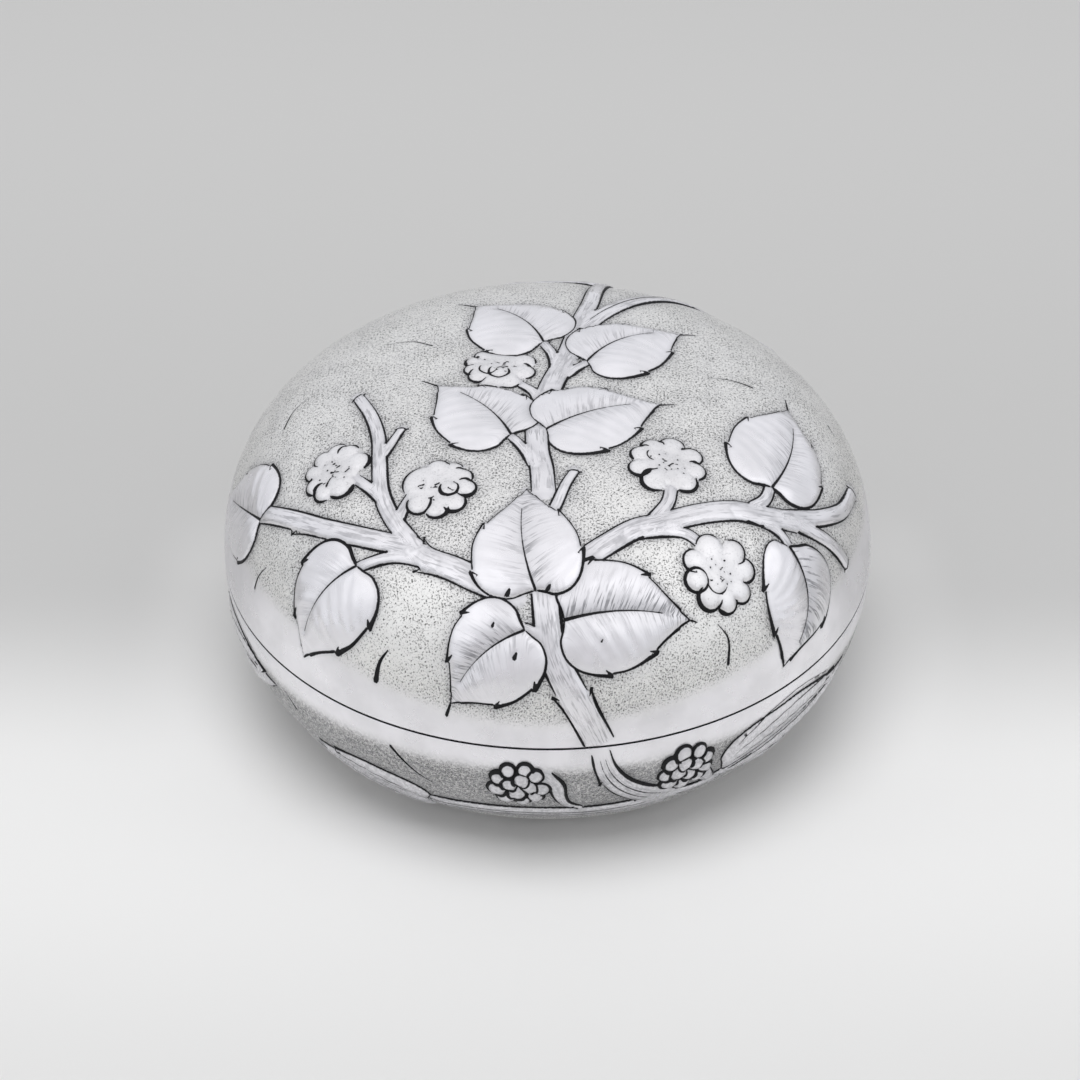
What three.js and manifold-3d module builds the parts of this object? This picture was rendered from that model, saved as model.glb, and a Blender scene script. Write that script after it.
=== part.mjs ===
// A round silver box: a domed lid that lifts off a full-bellied bowl, with a collar inside the seam.
// Leaves, berries and branches are raised from the sheets in low relief.
// Millimetres, +Z up. The origin is the centre of the flat base, where the box stands.

import * as THREE from "three";
import { mergeVertices } from "three/addons/utils/BufferGeometryUtils.js";
import Module from "manifold-3d";

// Overall form
const seamRadius = 60;
const lidHeight = 34.6;
const bowlHeight = 32;
const baseRadius = 39.5;

// How square each curve is: a power of 2 is an ellipse, and a higher one is fuller
const lidWallPower = 3.5;
const lidCrownPower = 2.1;
const bowlWallPower = 3.13;
const bowlFloorPower = 2;

// Sheet and joints
const sheet = 1;
const seamGap = 0.3;
const solderGap = 0.1;
const liftClearance = 0.4;
const lipChamfer = 0.25;

// Rim rings and collar
const rimHeight = 4.5;
const bowlRimThickness = 1.1;
const collarThickness = 0.8;
const collarRise = 5;
const collarDrop = 6;
const collarChamfer = 0.2;

// Relief, raised from the sheet's face; rootDepth is how far each form reaches into the sheet
const rootDepth = 0.5;
const leafEdgeRise = 0.15;
const leafCrownRise = 0.65;
const leafRibRise = 0.35;
const overlapRise = 0.25;
const branchRise = 0.5;
const branchEdgeRise = 0.1;
const branchStep = 5;
const berryRadius = 6.2;
const berryRise = 0.9;

// Facets
const turnSteps = 60;
const outerSteps = 12;
const innerSteps = 10;
const arcSamples = 600;

// Places of the ornament, on a dome laid flat from its pole: x to the right and y away from the viewer.
// Shares of the arc from the pole to the seam.

// Leaves of the lid. halfWidths are to the left and right of the line from base to tip, and ribBow is how far
// the midrib bows to its left; those are millimetres.
const lidLeaves = [
  { baseShares: [-0.01, 0.18], tipShares: [-0.172, 0.37], halfWidths: [9.8, 10.2], ribBow: -2.3 },
  { baseShares: [0.091, 0.098], tipShares: [0.312, 0.245], halfWidths: [9.6, 8.5], ribBow: 2.8 },
  { baseShares: [-0.083, -0.191], tipShares: [-0.251, 0.006], halfWidths: [9.2, 9.4], ribBow: -1.9 },
  { baseShares: [-0.003, -0.173], tipShares: [0.254, -0.069], halfWidths: [10.4, 9], ribBow: 2 },
  { baseShares: [-0.054, -0.719], tipShares: [-0.255, -0.868], halfWidths: [8.9, 9.5], ribBow: -1.9 },
  { baseShares: [0.037, -0.698], tipShares: [0.333, -0.665], halfWidths: [10.1, 9.7], ribBow: 1.1 },
  { baseShares: [-0.438, -0.515], tipShares: [-0.671, -0.65], halfWidths: [9.8, 10], ribBow: -2.3 },
  { baseShares: [-0.702, -0.264], tipShares: [-0.85, -0.04], halfWidths: [9.7, 8.8], ribBow: 0.5 },
  { baseShares: [0.508, -0.284], tipShares: [0.561, 0.012], halfWidths: [9.4, 9.7], ribBow: -2.1 },
  { baseShares: [0.563, -0.419], tipShares: [0.651, -0.684], halfWidths: [12.3, 6.6], ribBow: 4.6 },
  { baseShares: [0.17, 0.66], tipShares: [0.32, 0.84], halfWidths: [9.4, 9.4], ribBow: -2 },
  { baseShares: [-0.02, 0.66], tipShares: [-0.12, 0.88], halfWidths: [9.4, 9.4], ribBow: 2 },
  { baseShares: [-0.42, 0.6], tipShares: [-0.6, 0.7], halfWidths: [9.2, 9.2], ribBow: 2 },
  { baseShares: [0.52, 0.52], tipShares: [0.7, 0.6], halfWidths: [9.2, 9.2], ribBow: -2 },
];
// The leaf that lies over its neighbours and the stem
const lidTopLeaf = {
  baseShares: [-0.028, -0.634],
  tipShares: [-0.047, -0.374],
  halfWidths: [10.7, 8.5],
  ribBow: 1.6,
};
// Berries of the lid: centre x and y
const lidBerryShares = [
  [-0.48, -0.248],
  [-0.243, -0.356],
  [-0.109, 0.073],
  [0.264, -0.282],
  [0.392, -0.545],
  [0.46, 0.7],
  [-0.24, 0.7],
];
// Branches of the lid: width at the start and end, then the points of the path
const lidBranchShares = [
  { widths: [0.08, 0.062], path: [[0.13, -0.95], [0.051, -0.846], [0.003, -0.737], [-0.01, -0.6]] },
  { widths: [0.045, 0.042], path: [[-0.01, -0.38], [-0.02, -0.28], [-0.026, -0.188]] },
  {
    widths: [0.05, 0.035],
    path: [[-0.01, -0.061], [0.03, 0.069], [0.06, 0.2], [0.101, 0.374], [0.12, 0.5], [0.17, 0.665]],
  },
  {
    widths: [0.045, 0.035],
    path: [[0.095, 0.271], [0.138, 0.349], [0.23, 0.44], [0.36, 0.52], [0.525, 0.52]],
  },
  { widths: [0.05, 0.045], path: [[-0.09, -0.63], [-0.212, -0.57], [-0.317, -0.492]] },
  {
    widths: [0.047, 0.042],
    path: [[-0.317, -0.492], [-0.394, -0.463], [-0.499, -0.403], [-0.57, -0.352], [-0.7, -0.25]],
  },
  { widths: [0.036, 0.032], path: [[-0.305, -0.483], [-0.37, -0.348], [-0.38, -0.173], [-0.433, -0.005]] },
  { widths: [0.032, 0.03], path: [[-0.282, -0.549], [-0.34, -0.52], [-0.44, -0.518]] },
  {
    widths: [0.05, 0.04],
    path: [[0.04, -0.58], [0.132, -0.519], [0.252, -0.452], [0.42, -0.381], [0.576, -0.349]],
  },
  { widths: [0.04, 0.034], path: [[0.57, -0.347], [0.66, -0.287], [0.728, -0.217], [0.769, -0.122]] },
  { widths: [0.036, 0.034], path: [[0.56, -0.352], [0.66, -0.34], [0.777, -0.337]] },
  { widths: [0.03, 0.03], path: [[0.473, -0.37], [0.498, -0.318], [0.507, -0.275]] },
  { widths: [0.03, 0.03], path: [[0.432, -0.38], [0.51, -0.388], [0.57, -0.42]] },
  { widths: [0.03, 0.03], path: [[0.203, -0.48], [0.272, -0.476], [0.345, -0.49]] },
  { widths: [0.03, 0.03], path: [[0.225, -0.46], [0.261, -0.401], [0.272, -0.35]] },
  {
    widths: [0.04, 0.034],
    path: [[0.13, 0.55], [0.06, 0.62], [-0.08, 0.64], [-0.25, 0.62], [-0.425, 0.602]],
  },
  { widths: [0.03, 0.03], path: [[0.36, 0.52], [0.42, 0.57], [0.45, 0.64]] },
  { widths: [0.03, 0.03], path: [[0.03, 0.05], [0.06, 0.065], [0.1, 0.105]] },
  { widths: [0.03, 0.03], path: [[0.004, 0.008], [0.015, 0.1], [-0.008, 0.18]] },
  { widths: [0.03, 0.03], path: [[-0.036, -0.277], [-0.052, -0.235], [-0.084, -0.19]] },
];

// The bowl's wreath repeats. Its places are degrees round from +X and shares of the arc.
const bowlRepeats = 3;
const bowlLeaves = [
  { basePolar: [-117, 0.735], tipPolar: [-137, 0.79], halfWidths: [8.7, 8], ribBow: 1.5 },
  { basePolar: [-56.5, 0.79], tipPolar: [-38, 0.89], halfWidths: [8, 6.3], ribBow: -1.5 },
];
const bowlBerryShares = [
  [-95, 0.875],
  [-65.5, 0.875],
];
const bowlBranchShares = [
  { widths: [0.05, 0.04], path: [[-79.5, 0.93], [-77, 0.86], [-72, 0.79], [-62, 0.765], [-50, 0.8]] },
  { widths: [0.04, 0.04], path: [[-76, 0.79], [-86, 0.75], [-100, 0.74], [-119, 0.74]] },
  { widths: [0.03, 0.03], path: [[-137, 0.77], [-150, 0.72], [-160, 0.74], [-170, 0.8]] },
];

// One leaf from base to tip: its edge, as shares of its length and of its half width, and its midrib's length
const leafEdgeShares = [
  [-0.03, 0.12],
  [-0.05, 0.45],
  [0, 0.74],
  [0.12, 0.94],
  [0.32, 1],
  [0.54, 0.89],
  [0.74, 0.53],
  [0.88, 0.19],
  [1, 0.02],
];
const leafRibShares = [0, 0.04, 0.12, 0.24, 0.4, 0.6, 0.77, 0.9, 1];

// One berry: a mound with a ring of lobes round a smaller ring, each ring given by its share of the berry's
// radius on a lobe and in the gap beside it, and its share of the rise there
const berryLobes = 9;
const berryRings = [
  { radiusShares: [1, 0.9], riseShares: [0.2, 0.1] },
  { radiusShares: [0.86, 0.8], riseShares: [0.95, 0.5] },
  { radiusShares: [0.7, 0.68], riseShares: [1, 0.7] },
  { radiusShares: [0.5, 0.5], riseShares: [0.7, 0.7] },
  { radiusShares: [0.3, 0.34], riseShares: [0.95, 0.75] },
  { radiusShares: [0.1, 0.1], riseShares: [0.9, 0.8] },
];

// A quarter of a superellipse, from its pole on the axis to the seam, measured along its arc.
// height is how far a point lies from the seam plane, up for the lid and down for the bowl.
function domeCurve(radius, height, wallPower, crownPower, flatRadius) {
  const flatTurn = Math.acos((flatRadius / radius) ** (wallPower / 2));
  const fullHeight = height / Math.sin(flatTurn) ** (2 / crownPower);
  const pointAt = (turn) => ({
    radius: radius * Math.cos(turn) ** (2 / wallPower),
    height: fullHeight * Math.sin(turn) ** (2 / crownPower),
  });
  const samples = [{ radius: 0, height, length: 0 }];
  for (let i = 0; i <= arcSamples; i += 1) {
    const point = pointAt(flatTurn * (1 - i / arcSamples));
    const last = samples[samples.length - 1];
    const step = Math.hypot(point.radius - last.radius, point.height - last.height);
    samples.push({ ...point, length: last.length + step });
  }
  const total = samples[samples.length - 1].length;
  const at = (share) => {
    const wanted = Math.min(Math.max(share, 0), 1) * total;
    const next = Math.max(1, samples.findIndex((sample) => sample.length >= wanted - 1e-9));
    const [from, to] = [samples[next - 1], samples[next]];
    const mix = to.length > from.length ? (wanted - from.length) / (to.length - from.length) : 0;
    return {
      radius: from.radius + mix * (to.radius - from.radius),
      height: from.height + mix * (to.height - from.height),
    };
  };
  const radiusAt = (level) => {
    const turn = Math.asin((level / fullHeight) ** (crownPower / 2));
    return pointAt(turn).radius;
  };
  const normalAt = (point) => {
    const out = (wallPower / radius) * (point.radius / radius) ** (wallPower - 1);
    const up = (crownPower / fullHeight) * (point.height / fullHeight) ** (crownPower - 1);
    const size = Math.hypot(out, up);
    return { out: out / size, up: up / size };
  };
  return { at, radiusAt, normalAt, total, flatShare: flatRadius / total };
}

const lidOuter = domeCurve(seamRadius, lidHeight, lidWallPower, lidCrownPower, 0);
const lidInner = domeCurve(seamRadius - sheet, lidHeight - sheet, lidWallPower, lidCrownPower, 0);
const bowlOuter = domeCurve(seamRadius, bowlHeight, bowlWallPower, bowlFloorPower, baseRadius);
const bowlInner = domeCurve(
  seamRadius - sheet,
  bowlHeight - sheet,
  bowlWallPower,
  bowlFloorPower,
  baseRadius - sheet,
);

// Radii of the soldered rings, from the wall inwards
const bowlRimOuter = bowlInner.radiusAt(rimHeight) - solderGap;
const collarOuter = bowlRimOuter - bowlRimThickness - solderGap;
const collarInner = collarOuter - collarThickness;
const lidRimOuter = lidInner.radiusAt(rimHeight) - solderGap;
const lidRimInner = collarOuter + liftClearance;
const lidSeat = bowlHeight + seamGap;

// Points of a curve from the end of its flat or its pole to the seam, at even steps of arc
function curvePoints(curve, steps, levelOf) {
  const points = [];
  for (let i = 0; i <= steps; i += 1) {
    const share = curve.flatShare + (1 - curve.flatShare) * (i / steps);
    const { radius, height } = curve.at(share);
    points.push(new THREE.Vector2(radius, levelOf(height)));
  }
  return points;
}

// The chamfered lip takes the place of the outline's last point, at the seam
function withLip(points, lipLevel, inward) {
  const edge = points.slice(0, -1);
  edge.push(new THREE.Vector2(seamRadius, lipLevel + inward * lipChamfer));
  edge.push(new THREE.Vector2(seamRadius - lipChamfer, lipLevel));
  return edge;
}

// LatheGeometry turns about Y, and the box stands along Z
function turned(outline) {
  return new THREE.LatheGeometry(outline, turnSteps).rotateX(Math.PI / 2);
}

// The inside of a shell, from its pole or flat to the seam: straight behind the rim ring
function insidePoints(curve, levelOf) {
  const dome = curvePoints(curve, innerSteps, (height) => height).filter((p) => p.y > rimHeight);
  const wallRadius = curve.radiusAt(rimHeight);
  dome.push(new THREE.Vector2(wallRadius, rimHeight), new THREE.Vector2(wallRadius, 0));
  return dome.map((p) => new THREE.Vector2(p.x, levelOf(p.y)));
}

const bowlLevel = (height) => bowlHeight - height;
const lidLevel = (height) => lidSeat + height;

function bowlShell() {
  const outside = withLip(curvePoints(bowlOuter, outerSteps, bowlLevel), bowlHeight, -1);
  const inside = insidePoints(bowlInner, bowlLevel).reverse();
  const start = new THREE.Vector2(0, 0);
  const floor = new THREE.Vector2(0, sheet);
  return turned([start, ...outside, ...inside, floor]);
}

function lidShell() {
  const outside = withLip(curvePoints(lidOuter, outerSteps, lidLevel), lidSeat, 1);
  const inside = insidePoints(lidInner, lidLevel);
  return turned([...inside, ...outside.reverse()]);
}

function ring(inner, outer, low, high, chamfer) {
  const outline = [
    new THREE.Vector2(inner, low),
    new THREE.Vector2(outer, low),
    new THREE.Vector2(outer, high - chamfer),
    new THREE.Vector2(outer - chamfer, high),
    new THREE.Vector2(inner, high),
  ];
  return turned([...outline, outline[0]]);
}

// A point of a dome's chart, lifted off its surface
function onDome(dome, x, y, lift) {
  const turn = Math.atan2(y, x);
  const { radius, height } = dome.curve.at(Math.hypot(x, y));
  const normal = dome.curve.normalAt({ radius, height });
  const reach = radius + lift * normal.out;
  const level = dome.levelOf(height + lift * normal.up);
  return new THREE.Vector3(reach * Math.cos(turn), reach * Math.sin(turn), level);
}

// A closed solid through loops of points, clockwise as seen along their run
function loft(loops) {
  const size = loops[0].length;
  const faces = [];
  for (let start = 0; start < (loops.length - 1) * size; start += size) {
    for (let j = 0; j < size; j += 1) {
      const next = (j + 1) % size;
      faces.push(start + j, start + next, start + size + next);
      faces.push(start + j, start + size + next, start + size + j);
    }
  }
  const end = (loops.length - 1) * size;
  for (let j = 1; j + 1 < size; j += 1) {
    faces.push(0, j + 1, j);
    faces.push(end, end + j, end + j + 1);
  }
  const geometry = new THREE.BufferGeometry().setFromPoints(loops.flat());
  geometry.setIndex(faces);
  return geometry;
}

// The same loops given as chart places and lifts; the chart of a bowl is seen from inside, so it turns over
function loftOnDome(dome, loops) {
  const placed = loops.map((loop) => loop.map(([x, y, lift]) => onDome(dome, x, y, lift)));
  return loft(dome.seenFromInside ? placed.map((loop) => loop.reverse()) : placed);
}

function leaf(dome, { baseShares, tipShares, halfWidths, ribBow }, extraRise) {
  const base = new THREE.Vector2(...baseShares);
  const along = new THREE.Vector2(...tipShares).sub(base);
  const rightward = new THREE.Vector2(along.y, -along.x).normalize().divideScalar(dome.curve.total);
  const place = (alongShare, right, lift) => [
    base.x + alongShare * along.x + right * rightward.x,
    base.y + alongShare * along.y + right * rightward.y,
    lift,
  ];
  const loops = leafEdgeShares.map(([edgeAlong, edgeShare], row) => {
    const isEnd = row === 0 || row === leafEdgeShares.length - 1;
    const ribAlong = leafRibShares[row];
    const rib = -4 * ribBow * ribAlong * (1 - ribAlong);
    const [left, right] = [-halfWidths[0] * edgeShare, halfWidths[1] * edgeShare];
    const middle = (edgeAlong + ribAlong) / 2;
    const crown = isEnd ? leafEdgeRise : leafCrownRise;
    const columns = [
      [edgeAlong, left, leafEdgeRise],
      [middle, (left + rib) / 2, crown],
      [ribAlong, rib, isEnd ? leafEdgeRise : leafRibRise],
      [middle, (rib + right) / 2, crown],
      [edgeAlong, right, leafEdgeRise],
    ];
    const top = columns.map(([a, b, rise]) => place(a, b, rise + extraRise));
    const under = columns.map(([a, b]) => place(a, b, -rootDepth));
    return [...top, ...under.reverse()];
  });
  return loftOnDome(dome, loops);
}

function branch(dome, { widths, path }) {
  const curve = new THREE.SplineCurve(path.map(([x, y]) => new THREE.Vector2(x, y)));
  const steps = Math.max(2, Math.ceil((curve.getLength() * dome.curve.total) / branchStep));
  const loops = [];
  for (let i = 0; i <= steps; i += 1) {
    const centre = curve.getPointAt(i / steps);
    const along = curve.getTangentAt(i / steps);
    const half = (widths[0] + (widths[1] - widths[0]) * (i / steps)) / 2;
    const across = new THREE.Vector2(along.y, -along.x).multiplyScalar(half);
    const side = (share, lift) => [centre.x + share * across.x, centre.y + share * across.y, lift];
    loops.push([
      side(-1, branchEdgeRise),
      side(0, branchRise),
      side(1, branchEdgeRise),
      side(1, -rootDepth),
      side(-1, -rootDepth),
    ]);
  }
  return loftOnDome(dome, loops);
}

// Rings about a place in the chart, each from lobe to gap and on to the next lobe
function berry(dome, [x, y]) {
  const size = berryRadius / dome.curve.total;
  const ringAt = (radiusShares, lifts) => {
    const loop = [];
    for (let i = 0; i < 2 * berryLobes; i += 1) {
      const turn = (i / berryLobes) * Math.PI;
      const radius = radiusShares[i % 2] * size;
      loop.push([x + radius * Math.cos(turn), y + radius * Math.sin(turn), lifts[i % 2]]);
    }
    return loop;
  };
  const root = ringAt(berryRings[0].radiusShares, [-rootDepth, -rootDepth]);
  const rings = berryRings.map(({ radiusShares, riseShares }) => {
    return ringAt(radiusShares, riseShares.map((share) => share * berryRise));
  });
  return loftOnDome(dome, [root, ...rings]);
}

// Joins closed geometries into one solid, and fills any sliver of air that they close in between them
const wasm = await Module();
wasm.setup();

function solidOf(geometry) {
  const bare = geometry.clone();
  bare.deleteAttribute("normal");
  bare.deleteAttribute("uv");
  const merged = mergeVertices(bare);
  const mesh = new wasm.Mesh({
    numProp: 3,
    vertProperties: merged.attributes.position.array,
    triVerts: new Uint32Array(merged.index.array),
  });
  return new wasm.Manifold(mesh);
}

function joined(geometries) {
  const whole = geometries.map(solidOf).reduce((sum, solid) => sum.add(solid));
  const shells = whole.decompose().sort((a, b) => b.volume() - a.volume());
  const mesh = shells[0].getMesh();
  const geometry = new THREE.BufferGeometry();
  geometry.setAttribute("position", new THREE.BufferAttribute(mesh.vertProperties, 3));
  geometry.setIndex(new THREE.BufferAttribute(mesh.triVerts, 1));
  geometry.computeVertexNormals();
  return geometry;
}

function piece(name, geometry, finish) {
  const material = new THREE.MeshStandardMaterial({ metalness: 1, ...finish });
  const mesh = new THREE.Mesh(geometry, material);
  mesh.name = name;
  return mesh;
}

// The ornament of each dome
const lidDome = { curve: lidOuter, levelOf: lidLevel, seenFromInside: false };
const bowlDome = { curve: bowlOuter, levelOf: bowlLevel, seenFromInside: true };

function lidRelief() {
  return [
    ...lidBranchShares.map((shares) => branch(lidDome, shares)),
    ...lidLeaves.map((form) => leaf(lidDome, form, 0)),
    leaf(lidDome, lidTopLeaf, overlapRise),
    ...lidBerryShares.map((shares) => berry(lidDome, shares)),
  ];
}

function bowlRelief() {
  const forms = [];
  for (let repeat = 0; repeat < bowlRepeats; repeat += 1) {
    const place = ([degrees, share]) => {
      const turn = THREE.MathUtils.degToRad(degrees) + (repeat / bowlRepeats) * 2 * Math.PI;
      return [share * Math.cos(turn), share * Math.sin(turn)];
    };
    for (const { widths, path } of bowlBranchShares) {
      forms.push(branch(bowlDome, { widths, path: path.map(place) }));
    }
    for (const { basePolar, tipPolar, ...form } of bowlLeaves) {
      forms.push(leaf(bowlDome, { baseShares: place(basePolar), tipShares: place(tipPolar), ...form }, 0));
    }
    forms.push(...bowlBerryShares.map((polar) => berry(bowlDome, place(polar))));
  }
  return forms;
}

const chasedSilver = { color: 0xd2d0d6, roughness: 0.3 };
const plainSilver = { color: 0xdad9de, roughness: 0.22 };

const box = new THREE.Group();
box.add(
  piece("bowl", joined([bowlShell(), ...bowlRelief()]), chasedSilver),
  piece(
    "bowl_rim_ring",
    ring(bowlRimOuter - bowlRimThickness, bowlRimOuter, bowlHeight - rimHeight, bowlHeight, 0),
    plainSilver,
  ),
  piece(
    "collar",
    ring(collarInner, collarOuter, bowlHeight - collarDrop, bowlHeight + collarRise, collarChamfer),
    plainSilver,
  ),
  piece("lid", joined([lidShell(), ...lidRelief()]), chasedSilver),
  piece("lid_rim_ring", ring(lidRimInner, lidRimOuter, lidSeat, lidSeat + rimHeight, 0), plainSilver),
);
export default box;
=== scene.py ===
"""A round chased silver box: lid and bowl as raised sheets with leaves, berries and branches in relief.

Millimetres are used for the sheets, and everything is turned into metres when its mesh is made.
"""

import math

import bpy
import numpy as np
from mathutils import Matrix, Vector, kdtree
from mathutils.geometry import delaunay_2d_cdt


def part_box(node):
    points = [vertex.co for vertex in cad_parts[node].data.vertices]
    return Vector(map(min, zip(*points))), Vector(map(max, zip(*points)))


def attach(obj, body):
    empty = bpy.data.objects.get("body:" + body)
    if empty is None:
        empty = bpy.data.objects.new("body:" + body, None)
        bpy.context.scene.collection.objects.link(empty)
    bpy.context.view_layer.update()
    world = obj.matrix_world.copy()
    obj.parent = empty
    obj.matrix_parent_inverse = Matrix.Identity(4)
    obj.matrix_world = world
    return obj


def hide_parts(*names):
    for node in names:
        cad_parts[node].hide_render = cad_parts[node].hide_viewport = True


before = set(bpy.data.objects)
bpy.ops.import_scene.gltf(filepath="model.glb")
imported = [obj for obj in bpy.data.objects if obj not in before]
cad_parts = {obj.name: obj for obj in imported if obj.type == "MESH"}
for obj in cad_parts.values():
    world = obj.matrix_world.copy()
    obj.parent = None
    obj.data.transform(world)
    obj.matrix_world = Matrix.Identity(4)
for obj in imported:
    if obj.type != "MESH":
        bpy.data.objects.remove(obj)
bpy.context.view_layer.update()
MM = 0.001

# Levels and radii that the frame gives, in millimetres
BOWL_HEIGHT = (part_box("bowl")[1] / MM).z
LID_SEAT = (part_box("lid")[0] / MM).z
RIM_LOW, RIM_HIGH = (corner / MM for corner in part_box("lid_rim_ring"))
BOWL_RIM_LOW, BOWL_RIM_HIGH = (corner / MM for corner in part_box("bowl_rim_ring"))
COLLAR_LOW, COLLAR_HIGH = (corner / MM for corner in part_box("collar"))
RIM_HEIGHT = RIM_HIGH.z - RIM_LOW.z

# Form of the two domes, in millimetres. Powers are for wall and crown: 2 is an ellipse, and more is fuller
SEAM_RADIUS = 60.0
LID_HEIGHT = 34.6
BASE_RADIUS = 39.5
LID_POWERS = (3.5, 2.1)
BOWL_POWERS = (3.13, 2.0)
SHEET = 1.0
LIP_ROUND, LIP_STEPS = 0.25, 4
BASE_ROUND = 1.2
BOWL_RING_THICKNESS = 1.1
COLLAR_THICKNESS = 0.8
LIFT_CLEARANCE = 0.4

# Relief above the ground of the sheet
LEAF_EDGE_RISE, LEAF_CROWN_RISE, LEAF_RIB_RISE = 0.12, 0.62, 0.22
OVERLAP_RISE = 0.22
BRANCH_RISE, BRANCH_EDGE_RISE = 0.45, 0.1
BERRY_EDGE_RISE, BERRY_MOUND_RISE, DRUPELET_RISE = 0.12, 0.4, 0.3
BERRY_RADIUS = 6.4
EDGE_SLOPE = 0.35
GROUND_DIP, GROUND_DIP_REACH = 0.12, 1.6
GROOVE_DEPTH = 0.14
HOLLOW_SHARE = 0.75

# Which forms lie over which
BRANCH_LAYER, BERRY_LAYER, LEAF_LAYER, TOP_LAYER = 1, 2, 3, 4

# Spacing of the mesh and of the lines
STROKE_STEP, LINE_STEP, SAMPLE_STEP = 0.4, 0.3, 0.1
FINE_STEP, LEAF_STEP, GROUND_STEP, PLAIN_STEP = 0.36, 0.62, 0.8, 1.5
INSIDE_STEP = 1.7
RING_STEPS, PROFILE_STEPS, TABLE_STEPS, SPLINE_STEPS = 720, 4000, 1600, 40
RANDOM_SEED = 7
TINY = 1e-9


# Helpers for places and lines in the chart


def smooth_step(value, low, high):
    share = np.clip((value - low) / (high - low), 0, 1)
    return share * share * (3 - 2 * share)


def away(points, centre=0):
    """The distance of each point from a centre, which is the pole if none is given."""
    return np.hypot(*(points - centre).T)


def unit(vector):
    return vector / np.hypot(*vector)


def bearing_at(degrees):
    turn = math.radians(degrees)
    return np.array([math.cos(turn), math.sin(turn)])


def all_round():
    """Unit vectors all round, one for each step of a ring."""
    turn = np.arange(RING_STEPS) / RING_STEPS * 2 * math.pi
    return np.column_stack([np.cos(turn), np.sin(turn)])


def arc_along(line):
    return np.concatenate([[0], np.cumsum(np.hypot(*np.diff(line, axis=0).T))])


def resample(line, step):
    arc = arc_along(line)
    count = max(2, int(math.ceil(arc[-1] / step)) + 1)
    even = np.linspace(0, arc[-1], count)
    return np.column_stack([np.interp(even, arc, line[:, 0]), np.interp(even, arc, line[:, 1])])


def spline(points, step):
    """A smooth line through the points, with a point about every step."""
    p = np.asarray(points, float)
    p = np.vstack([2 * p[0] - p[1], p, 2 * p[-1] - p[-2]])
    t = np.linspace(0, 1, SPLINE_STEPS, endpoint=False)[:, None]
    parts = []
    for a, b, c, d in zip(p[:-3], p[1:-2], p[2:-1], p[3:]):
        curve = 2 * b + (c - a) * t + (2 * a - 5 * b + 4 * c - d) * t**2 + (3 * b - a - 3 * c + d) * t**3
        parts.append(0.5 * curve)
    return resample(np.vstack([*parts, p[-2:-1]]), step)


def side_of(line):
    """The unit vector to the left of the line at each of its points."""
    along = np.gradient(line, axis=0)
    along /= np.maximum(away(along), TINY)[:, None]
    return np.column_stack([-along[:, 1], along[:, 0]])


def distance_to_line(points, line):
    """Each point's distance to the line, how far along the nearest place is, and its side, 1 on the left."""
    start, end = line[:-1], line[1:]
    run = end - start
    length = np.maximum((run**2).sum(1), 1e-12)
    offset = points[:, None, :] - start[None]
    share = np.clip((offset * run[None]).sum(2) / length[None], 0, 1)
    gap = offset - share[..., None] * run[None]
    squared = (gap**2).sum(2)
    nearest = squared.argmin(1)
    rows = np.arange(len(points))
    arc = np.concatenate([[0], np.cumsum(np.sqrt(length))])
    along = arc[nearest] + share[rows, nearest] * np.sqrt(length[nearest])
    cross = run[nearest, 0] * gap[rows, nearest, 1] - run[nearest, 1] * gap[rows, nearest, 0]
    return np.sqrt(squared[rows, nearest]), along, np.sign(cross)


def is_inside(points, polygon):
    """Whether each point is inside the closed polygon."""
    x, y = points[:, 0][:, None], points[:, 1][:, None]
    ax, ay = polygon[:, 0][None], polygon[:, 1][None]
    bx, by = np.roll(polygon[:, 0], -1)[None], np.roll(polygon[:, 1], -1)[None]
    spans = (ay > y) != (by > y)
    rise = np.where(by == ay, 1, by - ay)
    crossing = spans & (x < ax + (y - ay) / rise * (bx - ax))
    return crossing.sum(1) % 2 == 1


# Domes, laid flat by arc length

ROUNDING_REACH, ROUNDING_FADE = 3, 4


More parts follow.
